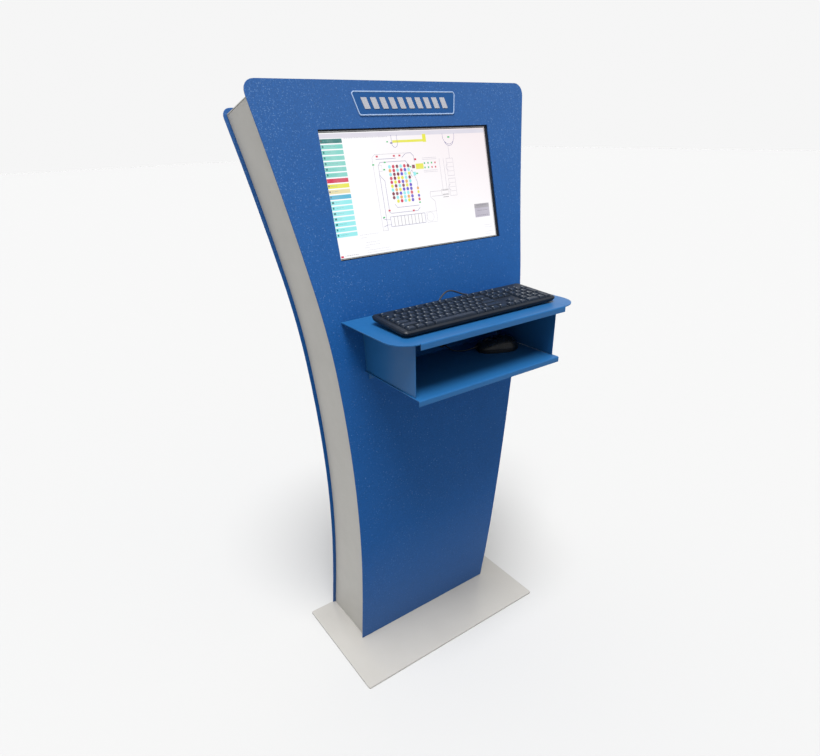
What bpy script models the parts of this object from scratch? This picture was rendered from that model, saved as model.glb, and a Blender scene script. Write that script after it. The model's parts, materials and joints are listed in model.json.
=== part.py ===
"""Curved free-standing information kiosk with a display, a keyboard shelf, a keyboard and a mouse.

Metres, +Z up. The viewer stands at -Y and the origin is the middle of the base plate's underside.
The front and rear panels are bent sheets that overhang a narrower core of folded side panels.
"""
import math

import bmesh
import bpy
import numpy as np
from mathutils import Matrix, Vector

# ---------------------------------------------------------------- driving dimensions
GAP = 0.0003                      # between pieces that touch
BASE_SIZE = (0.640, 0.355, 0.006)
BASE_CORNER = 0.005

FOOT_Z = BASE_SIZE[2] + GAP       # the sheets stand on the base plate
FRONT_FOOT_Y = -0.0137
LEANS = (math.radians(-7.76), math.radians(2.40), math.radians(13.92))
LEAN_MARKS = (0.108, 0.886, 1.105)        # along the bent sheet: foot, waist and head angles
SHEET_LENGTH = 1.5305
FOOT_HALF_WIDTH = 0.2418
FLARES = (0.0183, 0.1815)                 # how fast the half width grows, in radians
FLARE_MARKS = (0.249, 1.404)
BODY_DEPTH = 0.1685               # front face to rear face, measured level
FOOT_FLARE = 0.0215               # extra depth at the foot
FOOT_FLARE_TOP = 0.75
REAR_TOP_Z = 1.472
SHEET = 0.003                     # front and rear panels, measured level
FRONT_CORNER = 0.030
REAR_CORNER = 0.022

CORE_INSET = 0.009
CORE_SHEET = 0.002
FLANGE = 0.018
SEAT_GAP = 0.0005                 # side panel to the bent sheets
CAP_FRONT_Z = 1.492
CAP_REAR_Z = 1.459

WINDOW = (0.4812, 0.2737)         # width, and height along the slope
WINDOW_X, WINDOW_Z = 0.0052, 1.2914
DISPLAY_X = 0.0035
ACTIVE = (0.4766, 0.2681)
BADGE = (0.2926, 0.0501)          # width along the top, and height
BADGE_X, BADGE_Z = 0.0050, 1.4732
BADGE_SLANTS = (0.0150, 0.0100)   # how far the left and right ends lean in

DOOR = (0.416, 0.286)
DOOR_CLEARANCE = 0.002
DOOR_Z = 1.26
DOOR_SHEET = 0.0025
HINGE_AXIS_OUT = 0.0036
KNUCKLE = 0.0030
PIN = 0.0015
KNUCKLE_COUNT = 5
LOCK_PLACE = (0.185, 0.0)         # on the door, seen from behind

SHELF_Z = 1.0305                  # top face of the shelf
SHELF_X = 0.0065                  # the top plate sits a little to the right
SHELF_HALF = 0.2695
SHELF_FRONT_Y = -0.2794
SHELF_CORNER = 0.055
SHELF_SHEET = 0.002
LIP_HALF = 0.2150
LIP_DROP = 0.014
TRAY_Z = 0.9042                   # top face of the pigeonhole's floor
TRAY_HALF = 0.2142
TRAY_FRONT_Y = -0.2802
TRAY_LIP_DROP = 0.013
CHEEK_X = 0.2112
CHEEK_FRONT_Y = -0.2620
REAR_FLANGE = 0.020
BOLT_X = 0.150

KEYBOARD = (0.452, 0.134)
KEYBOARD_PLACE = (0.007, -0.2390, SHELF_Z + 0.0004)   # its lower front edge
KEYBOARD_TILT = math.radians(3.0)
KEY_PITCH = 0.019
KEY_DEPTH = 0.0160
KEY_GAP = 0.0030
KEY_TRAVEL = 0.003
CASE_SPLIT = 0.0080
CASE_PLATE = (0.0125, 0.0145)
WEB = (0.0086, 0.0098)
KEY_TOP = 0.0190
LOOSE_KEY_LOW = 0.0132
BLOCK_GAP = 0.0045
MAIN_UNITS = 15
NAV_UNITS = 3
PAD_UNITS = 4

MOUSE_PLACE = (0.132, -0.147)
MOUSE_YAW = math.radians(158.0)
MOUSE = (0.112, 0.061, 0.036)
MOUSE_SPLIT_X = 0.004
MOUSE_BASE_TOP = 0.0075
WHEEL_PLACE = (0.028, 0.0215)
WHEEL = (0.0105, 0.0066)

KEYBOARD_CORD = 0.0038
MOUSE_CORD = 0.0032
SHELF_PORT = (0.100, -0.074)      # where the keyboard's cord goes down through the shelf: x, y
KEYBOARD_PORT = (0.100, 0.9846)   # and then through the front panel: x, z
MOUSE_PORT = (0.020, 0.922)
KEYBOARD_ROUTE = (
    (-0.0112, -0.0920, 1.0428), (-0.0102, -0.0880, 1.0433), (-0.0058, -0.0840, 1.0450),
    (0.0034, -0.0800, 1.0500), (0.0148, -0.0765, 1.0558), (0.0260, -0.0745, 1.0584),
    (0.0375, -0.0735, 1.0575), (0.0502, -0.0735, 1.0536), (0.0639, -0.0735, 1.0476),
    (0.0768, -0.0735, 1.0423), (0.0860, -0.0736, 1.0402), (0.0936, -0.0738, 1.0378),
    (0.0983, -0.0740, 1.0336), (0.0999, -0.0740, 1.0280), (0.1000, -0.0740, 1.0210),
    (0.1000, -0.0742, 1.0110), (0.1000, -0.0732, 1.0010), (0.1000, -0.0695, 0.9925),
    (0.1000, -0.0633, 0.9868), (0.1000, -0.0550, 0.9846), (0.1000, -0.0462, 0.9836),
    (0.1003, -0.0378, 0.9808), (0.1020, -0.0305, 0.9745), (0.1060, -0.0258, 0.9630),
    (0.1130, -0.0238, 0.9380), (0.1220, -0.0250, 0.8900), (0.1280, -0.0330, 0.7600),
    (0.1300, -0.0350, 0.5500), (0.1310, -0.0260, 0.3600), (0.1360, -0.0220, 0.2950),
    (0.1600, -0.0210, 0.2640), (0.1840, -0.0210, 0.2950), (0.1890, -0.0220, 0.3600),
    (0.1890, -0.0240, 0.5200), (0.1850, -0.0210, 0.6000), (0.1720, -0.0100, 0.6500),
    (0.1480, 0.0030, 0.6880), (0.1240, 0.0110, 0.7010), (0.1050, 0.0120, 0.7020),
    (0.0932, 0.0120, 0.7020),
)
MOUSE_ROUTE = (
    (0.0740, -0.1236, 0.9142), (0.0672, -0.1206, 0.9121), (0.0560, -0.1140, 0.9090),
    (0.0440, -0.1050, 0.9073), (0.0330, -0.0960, 0.9085), (0.0250, -0.0860, 0.9130),
    (0.0210, -0.0750, 0.9185), (0.0200, -0.0630, 0.9218), (0.0200, -0.0500, 0.9215),
    (0.0230, -0.0385, 0.9120), (0.0350, -0.0370, 0.8900), (0.0620, -0.0430, 0.8500),
    (0.0930, -0.0500, 0.7900), (0.1080, -0.0530, 0.7000), (0.1120, -0.0500, 0.5500),
    (0.1130, -0.0400, 0.3000), (0.1160, -0.0320, 0.2200), (0.1390, -0.0280, 0.1880),
    (0.1620, -0.0310, 0.2200), (0.1660, -0.0380, 0.3000), (0.1680, -0.0400, 0.4800),
    (0.1640, -0.0300, 0.5800), (0.1450, -0.0020, 0.6400), (0.1200, 0.0110, 0.6520),
    (0.1050, 0.0120, 0.6530), (0.0932, 0.0120, 0.6530),
)
CORD_SAMPLES = 78

COMPUTER = ((-0.0925, -0.0100, 0.6005), (0.0925, 0.0345, 0.7850))
CROSS_MEMBER_Y = (-0.014, 0.046)
INLET_Z = 0.072
FAN = 0.080

# ---------------------------------------------------------------- finishes: colour, roughness, metallic
BLUE = ((0.035, 0.140, 0.420), 0.42, 0.3)
SHELF_BLUE = ((0.040, 0.190, 0.450), 0.40, 0.3)
CORE_GREY = ((0.400, 0.390, 0.370), 0.50, 0.0)
BASE_GREY = ((0.680, 0.670, 0.640), 0.35, 0.0)
BLACK = ((0.012, 0.012, 0.014), 0.45, 0.0)
KEY_BLACK = ((0.018, 0.018, 0.020), 0.55, 0.0)
STEEL = ((0.550, 0.560, 0.580), 0.32, 1.0)
ZINC = ((0.480, 0.490, 0.500), 0.45, 1.0)
SILVER = ((0.450, 0.480, 0.540), 0.30, 0.8)
SCREEN = ((0.900, 0.900, 0.920), 0.15, 0.0)
RUBBER = ((0.015, 0.015, 0.015), 0.80, 0.0)


# ---------------------------------------------------------------- the bent shape
def trace_profile():
    """Height, front face and half width along the bent sheet."""
    along = np.linspace(0.0, SHEET_LENGTH, 1531)
    lean = np.interp(along, LEAN_MARKS, LEANS)
    flare = np.interp(along, FLARE_MARKS, FLARES)

    def total(rate):
        strips = (rate[1:] + rate[:-1]) * along[1] / 2
        return np.concatenate(([0.0], np.cumsum(strips)))

    z = FOOT_Z + total(np.cos(lean))
    y = FRONT_FOOT_Y + total(np.sin(lean))
    half = FOOT_HALF_WIDTH + total(np.tan(flare))
    return along, z, y, half


ALONG, TRACE_Z, TRACE_Y, TRACE_HALF = trace_profile()
TOP_Z = float(TRACE_Z[-1])


def station_heights():
    """Heights at which the bent sheets are cut into flat strips."""
    foot, waist, head = np.interp(LEAN_MARKS, ALONG, TRACE_Z)
    lower = np.linspace(foot, waist, 13)
    bend = np.linspace(waist, head, 9)[1:]
    upper = np.linspace(head, CAP_REAR_Z - 0.015, 5)[1:]
    return np.concatenate(([FOOT_Z], lower, bend, upper, [TOP_Z]))


STATION_Z = station_heights()
STATION_FRONT = np.interp(STATION_Z, TRACE_Z, TRACE_Y)
STATION_HALF = np.interp(STATION_Z, TRACE_Z, TRACE_HALF)
STATION_DEPTH = BODY_DEPTH + FOOT_FLARE * np.clip(1 - STATION_Z / FOOT_FLARE_TOP, 0, 1) ** 2
STATION_REAR = STATION_FRONT + STATION_DEPTH


def front_y(z):
    return float(np.interp(z, STATION_Z, STATION_FRONT))


def rear_y(z):
    return float(np.interp(z, STATION_Z, STATION_REAR))


def half_width(z):
    return float(np.interp(z, STATION_Z, STATION_HALF))


def slope_at(surface, z):
    reach = 0.004
    return math.atan2(surface(z + reach) - surface(z - reach), 2 * reach)


def front_frame(x, z):
    """Frame on the front face: X right, Y up the slope, Z out towards the viewer."""
    lean = slope_at(front_y, z)
    right = Vector((1, 0, 0))
    up = Vector((0, math.sin(lean), math.cos(lean)))
    return frame_from(right, up, Vector((x, front_y(z), z)))


def rear_frame(x, z):
    """Frame on the rear face: Y up the slope, Z out behind the kiosk."""
    lean = slope_at(rear_y, z)
    left = Vector((-1, 0, 0))
    up = Vector((0, math.sin(lean), math.cos(lean)))
    return frame_from(left, up, Vector((x, rear_y(z), z)))


def frame_from(x_axis, y_axis, origin):
    columns = Matrix((x_axis, y_axis, x_axis.cross(y_axis))).transposed()
    return Matrix.Translation(origin) @ columns.to_4x4()


# ---------------------------------------------------------------- mesh helpers
def add_loft(bm, sections):
    """A closed solid through closed sections of equal point counts."""
    rings = [[bm.verts.new(point) for point in section] for section in sections]
    for low, high in zip(rings[:-1], rings[1:]):
        for index in range(len(low)):
            following = (index + 1) % len(low)
            bm.faces.new((low[index], low[following], high[following], high[index]))
    bm.faces.new(rings[0][::-1])
    bm.faces.new(rings[-1])


def add_prism(bm, outline, axis, low, high):
    """A prism of a flat outline. The outline's two numbers are the other axes in X, Y, Z order."""
    def lift(point, along):
        values = list(point)
        values.insert("XYZ".index(axis), along)
        return Vector(values)
    add_loft(bm, [[lift(point, along) for point in outline] for along in (low, high)])


def add_box(bm, low, high):
    outline = ((low[0], low[1]), (high[0], low[1]), (high[0], high[1]), (low[0], high[1]))
    add_prism(bm, outline, "Z", low[2], high[2])


def circle(radius, sides, centre=(0.0, 0.0)):
    turns = [2 * math.pi * (index + 0.5) / sides for index in range(sides)]
    return [(centre[0] + radius * math.cos(a), centre[1] + radius * math.sin(a)) for a in turns]


def add_stack(bm, stack, sides):
    """A round solid through circles given as (radius, z)."""
    add_loft(bm, [[Vector((x, y, z)) for x, y in circle(radius, sides)] for radius, z in stack])


def rounded_rectangle(size, radius, steps=4, centre=(0.0, 0.0)):
    corners = ((1, 1, 0), (-1, 1, 90), (-1, -1, 180), (1, -1, 270))
    points = []
    for side_x, side_y, start in corners:
        middle_x = centre[0] + side_x * (size[0] / 2 - radius)
        middle_y = centre[1] + side_y * (size[1] / 2 - radius)
        for step in range(steps + 1):
            angle = math.radians(start + 90 * step / steps)
            points.append((middle_x + radius * math.cos(angle), middle_y + radius * math.sin(angle)))
    return points


def add_ring(bm, section, sides):
    """A closed ring: a section of (radius, z) points turned about Z."""
    rings = []
    for index in range(sides):
        angle = 2 * math.pi * index / sides
        rings.append([bm.verts.new((r * math.cos(angle), r * math.sin(angle), z)) for r, z in section])
    for index in range(sides):
        here, there = rings[index], rings[(index + 1) % sides]
        for corner in range(len(section)):
            following = (corner + 1) % len(section)
            bm.faces.new((here[corner], there[corner], there[following], here[following]))


def mesh_object(name, bm, matrix):
    bmesh.ops.recalc_face_normals(bm, faces=bm.faces)
    mesh = bpy.data.meshes.new(name)
    bm.to_mesh(mesh)
    bm.free()
    obj = bpy.data.objects.new(name, mesh)
    bpy.context.scene.collection.objects.link(obj)
    obj.matrix_world = matrix
    return obj


def dress(obj, finish):
    colour, roughness, metallic = finish
    material = bpy.data.materials.new(obj.name)
    material.use_nodes = True
    shader = material.node_tree.nodes["Principled BSDF"]
    shader.inputs["Base Color"].default_value = (*colour, 1.0)
    shader.inputs["Roughness"].default_value = roughness
    shader.inputs["Metallic"].default_value = metallic
    obj.data.materials.append(material)


def add_part(name, bm, finish, matrix=Matrix.Identity(4), smooth=None):
    obj = mesh_object(name, bm, matrix)
    dress(obj, finish)
    if smooth is not None:
        obj.data.shade_smooth()
        obj.data.set_sharp_from_angle(angle=math.radians(smooth))
    return obj


def combine(target, operation, bm, matrix=Matrix.Identity(4)):
    """Cut a hidden shape from a part, or join one to it."""
    tool = mesh_object(f"{target.name}_{operation.lower()}_{len(target.modifiers)}", bm, matrix)
    tool.hide_render = True
    tool.display_type = "WIRE"
    modifier = target.modifiers.new(tool.name, "BOOLEAN")
    modifier.operation = operation
    modifier.solver = "EXACT"
    modifier.object = tool


def bevel(obj, width, segments=1):
    modifier = obj.modifiers.new("edges", "BEVEL")
    modifier.width = width
    modifier.segments = segments
    modifier.limit_method = "ANGLE"
    modifier.angle_limit = math.radians(50)


# ---------------------------------------------------------------- cabinet
def base_plate():
    bm = bmesh.new()
    add_prism(bm, rounded_rectangle(BASE_SIZE[:2], BASE_CORNER, 3), "Z", 0.0, BASE_SIZE[2])
    bevel(add_part("base_plate", bm, BASE_GREY, smooth=40), 0.0012, 2)


def foot_frame():
    """An upright ring of flat bar that ties the cabinet to the base plate."""
    size, middle, wall = (0.420, 0.160), (0.0, 0.078), 0.004
    low, high = FOOT_Z, FOOT_Z + 0.030
    bm = bmesh.new()
    outer = [(x + middle[0], y + middle[1]) for x, y in rounded_rectangle(size, 0.008, 2)]
    inner_size = (size[0] - 2 * wall, size[1] - 2 * wall)
    inner = [(x + middle[0], y + middle[1]) for x, y in rounded_rectangle(inner_size, 0.004, 2)]
    loops = []
    for outline in (outer, inner):
        for z in (low, high):
            loops.append([bm.verts.new((x, y, z)) for x, y in outline])
    outer_low, outer_high, inner_low, inner_high = loops
    for index in range(len(outer)):
        following = (index + 1) % len(outer)
        for first, second in ((outer_low, outer_high), (outer_high, inner_high),
                              (inner_high, inner_low), (inner_low, outer_low)):
            bm.faces.new((first[index], first[following], second[following], second[index]))
    add_part("foot_frame", bm, ZINC)


def bent_sheet(name, top, corner, face, inward):
    """A bent panel with round upper corners, as level strips between the stations."""
    lean = LEANS[2]
    levels = [(z, half_width(z)) for z in STATION_Z if z < top - corner]
    for step in range(7):
        angle = math.radians(90 * step / 6)
        z = top - corner * math.cos(lean) * (1 - math.sin(angle))
        levels.append((z, half_width(z) - corner * (1 - math.cos(angle))))
    sections = []
    for z, half in levels:
        near, far = face(z), face(z) + inward
        outline = ((-half, near), (half, near), (half, far), (-half, far))
        sections.append([Vector((x, y, z)) for x, y in outline])
    bm = bmesh.new()
    add_loft(bm, sections)
    return add_part(name, bm, BLUE, smooth=20)


def front_panel():
    panel = bent_sheet("front_panel", TOP_Z, FRONT_CORNER, front_y, SHEET)
    bm = bmesh.new()
    add_box(bm, (-WINDOW[0] / 2, -WINDOW[1] / 2, -0.02), (WINDOW[0] / 2, WINDOW[1] / 2, 0.02))
    combine(panel, "DIFFERENCE", bm, front_frame(WINDOW_X, WINDOW_Z))
    for x, z in (KEYBOARD_PORT, MOUSE_PORT):
        bm = bmesh.new()
        add_prism(bm, circle(0.009, 20), "Z", -0.02, 0.02)
        combine(panel, "DIFFERENCE", bm, front_frame(x, z))
    for x, z in bolt_places():
        bm = bmesh.new()
        add_prism(bm, circle(0.0034, 12), "Z", -0.02, 0.02)
        combine(panel, "DIFFERENCE", bm, front_frame(x, z))


def grommet(name, frame, sheet):
    """A rubber ring that snaps into a cord hole of a sheet."""
    bore, neck, rim = 0.0045, 0.0086, 0.0115
    outside, inside, lip = 0.0006, -sheet - 0.0010, 0.0014
    section = ((bore, outside + lip), (rim - 0.001, outside + lip), (rim, outside), (neck, outside),
               (neck, inside), (rim, inside), (rim - 0.001, inside - lip), (bore, inside - lip))
    bm = bmesh.new()
    add_ring(bm, section, 18)
    add_part(name, bm, RUBBER, frame, smooth=40)


def badge_plate():
    """A thin plate with slanted ends and a raised rim round a sunk field."""
    half_x, half_y = BADGE[0] / 2, BADGE[1] / 2
    rim, plate, field = 0.0028, 0.0020, 0.0012

    def outline(inset):
        left, right = (inset * slant / BADGE[1] for slant in BADGE_SLANTS)
        return ((half_x - inset - right, half_y - inset), (-half_x + inset + left, half_y - inset),
                (-half_x + BADGE_SLANTS[0] + inset - left, -half_y + inset),
                (half_x - BADGE_SLANTS[1] - inset + right, -half_y + inset))

    bm = bmesh.new()
    stack = ((0.0, GAP), (0.0, plate), (rim, plate), (rim, field))
    add_loft(bm, [[Vector((x, y, z)) for x, y in outline(inset)] for inset, z in stack])
    add_part("badge_plate", bm, SILVER, front_frame(BADGE_X, BADGE_Z))


def rear_panel():
    panel = bent_sheet("rear_panel", REAR_TOP_Z, REAR_CORNER, rear_y, -SHEET)
    bm = bmesh.new()
    half_x, half_y = DOOR[0] / 2 + DOOR_CLEARANCE, DOOR[1] / 2 + DOOR_CLEARANCE
    add_box(bm, (-half_x, -half_y, -0.02), (half_x, half_y, 0.02))
    combine(panel, "DIFFERENCE", bm, rear_frame(0.0, DOOR_Z))
    bm = bmesh.new()
    add_box(bm, (-0.024, -0.0142, -0.02), (0.024, 0.0142, 0.02))
    combine(panel, "DIFFERENCE", bm, rear_frame(0.0, INLET_Z))
    bm = bmesh.new()
    for row in range(8):
        z = 0.400 + 0.014 * row
        add_box(bm, (-0.080, rear_y(z) - 0.02, z), (0.080, rear_y(z) + 0.02, z + 0.005))
    combine(panel, "DIFFERENCE", bm)


def side_panel(name, side):
    """A folded channel: web and two flanges, following both bent sheets."""
    def section(level, shear):
        front = front_y(level) + SHEET + SEAT_GAP
        rear = rear_y(level) - SHEET - SEAT_GAP
        outline = ((0, front), (0, rear), (-FLANGE, rear), (-FLANGE, rear - CORE_SHEET),
                   (-CORE_SHEET, rear - CORE_SHEET), (-CORE_SHEET, front + CORE_SHEET),
                   (-FLANGE, front + CORE_SHEET), (-FLANGE, front))
        points = []
        for inwards, y in outline:
            z = level + shear * (y - front)
            shift = (front_y(z) - front_y(level)) * (shear != 0)
            points.append(Vector((side * (half_width(z) - CORE_INSET + inwards), y + shift, z)))
        return points

    slope = (CAP_REAR_Z - CAP_FRONT_Z) / (BODY_DEPTH - 2 * SHEET)
    levels = [z for z in STATION_Z if z < CAP_REAR_Z - 0.010]
    bm = bmesh.new()
    sections = [section(z, 0.0) for z in levels]
    sections.append(section(CAP_FRONT_Z - CORE_SHEET - SEAT_GAP, slope))
    add_loft(bm, sections)
    add_part(name, bm, CORE_GREY, smooth=20)


def top_cap():
    """The sloping lid between the two bent sheets."""
    sections = []
    for y, z in ((front_y(CAP_FRONT_Z) + SHEET + SEAT_GAP, CAP_FRONT_Z),
                 (rear_y(CAP_REAR_Z) - SHEET - SEAT_GAP, CAP_REAR_Z)):
        half = half_width(z) - CORE_INSET
        corners = ((-half, z), (half, z), (half, z - CORE_SHEET), (-half, z - CORE_SHEET))
        sections.append([Vector((x, y, height)) for x, height in corners])
    bm = bmesh.new()
    add_loft(bm, sections)
    add_part("top_cap", bm, CORE_GREY)


# ---------------------------------------------------------------- service door
def knuckle_span(index):
    length = DOOR[1] - 0.010
    pitch = length / KNUCKLE_COUNT
    low = -length / 2 + index * pitch
    return low + 0.0004, low + pitch - 0.0004


def hinge_leaf(name, side, knuckles, frame):
    """A flat leaf whose rolled knuckles curl round the pin. side is +1 for the door's leaf."""
    axis_x = -(DOOR[0] / 2 + DOOR_CLEARANCE / 2)
    low, thick, width = GAP, 0.0012, 0.017
    near = axis_x + side * (KNUCKLE + 0.0010)
    far = near + side * width
    half = (DOOR[1] - 0.010) / 2
    bm = bmesh.new()
    add_box(bm, (min(near, far), -half, low), (max(near, far), half, low + thick))
    leaf = add_part(name, bm, STEEL, frame, smooth=40)
    for index in knuckles:
        start, end = knuckle_span(index)
        outline = knuckle_outline(axis_x, side, thick, near)
        bm = bmesh.new()
        add_prism(bm, outline, "Y", start, end)
        combine(leaf, "UNION", bm, frame)


def knuckle_outline(axis_x, side, thick, near):
    """The tongue and curl of one knuckle, in the plane across the pin."""
    inner = KNUCKLE - thick
    turns = [math.radians(-90 - side * 300 * step / 10) for step in range(11)]
    outer_curl = [(axis_x + KNUCKLE * math.cos(a), HINGE_AXIS_OUT + KNUCKLE * math.sin(a)) for a in turns]
    inner_curl = [(axis_x + inner * math.cos(a), HINGE_AXIS_OUT + inner * math.sin(a)) for a in turns]
    lower = HINGE_AXIS_OUT - KNUCKLE
    root = near + side * 0.004
    return [(root, lower + thick), (root, lower)] + outer_curl + inner_curl[::-1]


def service_door():
    frame = rear_frame(0.0, DOOR_Z)
    bm = bmesh.new()
    add_box(bm, (-DOOR[0] / 2, -DOOR[1] / 2, -DOOR_SHEET), (DOOR[0] / 2, DOOR[1] / 2, 0.0))
    door = add_part("service_door", bm, BLUE, frame)
    bm = bmesh.new()
    for row in range(8):
        y = -0.031 + 0.008 * row
        add_box(bm, (-0.034, y, -0.01), (0.034, y + 0.004, 0.01))
    combine(door, "DIFFERENCE", bm, frame)
    bm = bmesh.new()
    add_prism(bm, circle(0.0084, 20, LOCK_PLACE), "Z", -0.01, 0.01)
    combine(door, "DIFFERENCE", bm, frame)

    hinge_leaf("hinge_frame_leaf", -1, range(0, KNUCKLE_COUNT, 2), frame)
    hinge_leaf("hinge_door_leaf", 1, range(1, KNUCKLE_COUNT, 2), frame)
    bm = bmesh.new()
    half = (DOOR[1] - 0.010) / 2 + 0.001
    axis_x = -(DOOR[0] / 2 + DOOR_CLEARANCE / 2)
    add_prism(bm, circle(PIN, 12, (axis_x, HINGE_AXIS_OUT)), "Y", -half, half)
    add_part("hinge_pin", bm, STEEL, frame, smooth=40)


def cam_lock():
    """Barrel fixed in the door, a plug that turns in it, and the cranked cam on the plug."""
    frame = rear_frame(0.0, DOOR_Z) @ Matrix.Translation((*LOCK_PLACE, 0.0))
    depth, face = -0.0125, 0.0022
    bore, plug = 0.0056, 0.0050
    bm = bmesh.new()
    section = ((bore, face), (0.0100, face), (0.0110, face - 0.0008), (0.0110, GAP), (0.0080, GAP),
               (0.0080, depth), (bore, depth))
    add_ring(bm, section, 24)
    add_part("lock_barrel", bm, STEEL, frame, smooth=40)

    bm = bmesh.new()
    add_prism(bm, circle(plug, 20), "Z", depth, face + 0.0004)
    turning = add_part("lock_plug", bm, STEEL, frame, smooth=40)
    bm = bmesh.new()
    add_box(bm, (-0.0006, -0.0034, face - 0.003), (0.0006, 0.0034, face + 0.003))
    combine(turning, "DIFFERENCE", bm, frame)

    thick, start = 0.0020, depth - GAP
    tip = -SHEET - 0.0010
    crank = ((-0.006, start), (0.015, start), (0.023, tip), (0.036, tip), (0.036, tip - thick),
             (0.0238, tip - thick), (0.0158, start - thick), (-0.006, start - thick))
    bm = bmesh.new()
    add_prism(bm, crank, "X", -0.006, 0.006)
    add_part("lock_cam", bm, ZINC, frame)


def exhaust_fan():
    """A fan behind the door's slots: square frame with spider arms, and the rotor in it."""
    near, far = -DOOR_SHEET - GAP, -DOOR_SHEET - GAP - 0.020
    frame = rear_frame(0.0, DOOR_Z)
    bm = bmesh.new()
    half = FAN / 2
    add_prism(bm, rounded_rectangle((FAN, FAN), 0.004, 2), "Z", far, near)
    housing = add_part("fan_frame", bm, BLACK, frame, smooth=40)
    bm = bmesh.new()
    add_prism(bm, circle(half - 0.0025, 32), "Z", far - 0.01, near + 0.01)
    combine(housing, "DIFFERENCE", bm, frame)
    for arm in ((half - 0.001, 0.002), (0.002, half - 0.001)):
        bm = bmesh.new()
        add_box(bm, (-arm[0], -arm[1], far), (arm[0], arm[1], far + 0.003))
        combine(housing, "UNION", bm, frame)
    bm = bmesh.new()
    add_prism(bm, circle(0.016, 20), "Z", far - 0.0002, far + 0.0034)
    combine(housing, "UNION", bm, frame)

    low, high, hub, tip = far + 0.0044, near - 0.0020, 0.0165, 0.0355
    sides, blades, twist = 28, 7, math.radians(24)
    bm = bmesh.new()
    add_prism(bm, circle(hub, sides), "Z", low, high)
    bm.faces.ensure_lookup_table()
    outer = [face for face in bm.faces if len(face.verts) == 4]
    rooted = [outer[index] for index in range(0, sides, sides // blades)]
    for face in bmesh.ops.extrude_discrete_faces(bm, faces=rooted)["faces"]:
        middle = sum((vert.co for vert in face.verts), Vector()) / 4
        heading = math.atan2(middle.y, middle.x)
        for vert in face.verts:
            upper = vert.co.z > middle.z
            side = math.atan2(vert.co.y, vert.co.x) - heading
            side = (side + math.pi) % (2 * math.pi) - math.pi
            angle = heading + side * 0.45 + (twist if upper else 0.0)
            height = middle.z + (vert.co.z - middle.z) * 0.9
            vert.co = Vector((tip * math.cos(angle), tip * math.sin(angle), height))
    add_part("fan_rotor", bm, BLACK, frame, smooth=30)


# ---------------------------------------------------------------- display and electronics
def display():
    frame = front_frame(DISPLAY_X, WINDOW_Z)
    start = -(SHEET + 0.0005)
    bezel_depth = 0.0060
    outer, cover_depth, wall = (0.512, 0.306), 0.040, 0.002
    bm = bmesh.new()
    add_box(bm, (-outer[0] / 2, -outer[1] / 2, start - bezel_depth), (outer[0] / 2, outer[1] / 2, start))
    bezel = add_part("display_bezel", bm, BLACK, frame)
    bm = bmesh.new()
    add_box(bm, (-ACTIVE[0] / 2, -ACTIVE[1] / 2, -0.05), (ACTIVE[0] / 2, ACTIVE[1] / 2, 0.05))
    combine(bezel, "DIFFERENCE", bm, frame)

    back = start - bezel_depth - GAP
    bm = bmesh.new()
    panel = (0.500, 0.292)
    add_box(bm, (-panel[0] / 2, -panel[1] / 2, back - 0.008), (panel[0] / 2, panel[1] / 2, back))
    add_part("display_panel", bm, SCREEN, frame)

    bm = bmesh.new()
    stack = ((outer, back - cover_depth), (outer, back))
    inside = (outer[0] - 2 * wall, outer[1] - 2 * wall)
    tray = stack + ((inside, back), (inside, back - cover_depth + wall))
    add_loft(bm, [[Vector((x, y, z)) for x, y in rectangle(size)] for size, z in tray])
    add_part("display_back_cover", bm, BLACK, frame)

    for name, level in (("display_rail_lower", -0.090), ("display_rail_upper", 0.090)):
        place = frame @ Vector((0, level, 0))
        half = half_width(place.z - 0.02) - CORE_INSET - CORE_SHEET - 0.003
        bm = bmesh.new()
        low = back - cover_depth - GAP - 0.003
        add_box(bm, (-half - DISPLAY_X, level - 0.012, low), (half - DISPLAY_X, level + 0.012, low + 0.003))
        add_part(name, bm, ZINC, frame)


def rectangle(size):
    half_x, half_y = size[0] / 2, size[1] / 2
    return ((-half_x, -half_y), (half_x, -half_y), (half_x, half_y), (-half_x, half_y))


def electronics():
    low, high = COMPUTER
    bm = bmesh.new()
    add_box(bm, low, high)
    bevel(add_part("computer_case", bm, BLACK, smooth=40), 0.003, 2)

    top = low[2] - GAP
    leg, sheet = 0.020, 0.002
    near, far = CROSS_MEMBER_Y
    channel = ((near, top), (far, top), (far, top - leg), (far - sheet, top - leg),
               (far - sheet, top - sheet), (near + sheet, top - sheet), (near + sheet, top - leg),
               (near, top - leg))
    half = half_width(top - leg) - CORE_INSET - CORE_SHEET - 0.0005
    bm = bmesh.new()
    add_prism(bm, channel, "X", -half, half)
    add_part("cross_member", bm, ZINC)

    bm = bmesh.new()
    add_box(bm, (-0.150, 0.020, 0.120), (0.150, 0.064, 0.160))
    strip = add_part("power_strip", bm, BASE_GREY)
    bm = bmesh.new()
    for index in range(4):
        add_prism(bm, circle(0.017, 16, (-0.105 + 0.062 * index, 0.042)), "Z", 0.150, 0.170)
    combine(strip, "DIFFERENCE", bm)

    frame = rear_frame(0.0, INLET_Z)
    bm = bmesh.new()
    add_box(bm, (-0.0236, -0.0138, -0.022), (0.0236, 0.0138, 0.0010))
    inlet = add_part("mains_inlet", bm, BLACK, frame)
    bm = bmesh.new()
    add_box(bm, (-0.026, -0.016, 0.0004), (0.026, 0.016, 0.0024))
    combine(inlet, "UNION", bm, frame)
    bm = bmesh.new()
    add_box(bm, (-0.0125, -0.0085, -0.016), (0.0125, 0.0085, 0.01))
    combine(inlet, "DIFFERENCE", bm, frame)


# ---------------------------------------------------------------- shelf
def bolt_places():
    upper = SHELF_Z - SHELF_SHEET - REAR_FLANGE * 0.55
    lower = TRAY_Z - SHELF_SHEET - REAR_FLANGE * 0.55
    return [(side * BOLT_X, z) for z in (upper, lower) for side in (-1, 1)]


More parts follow.
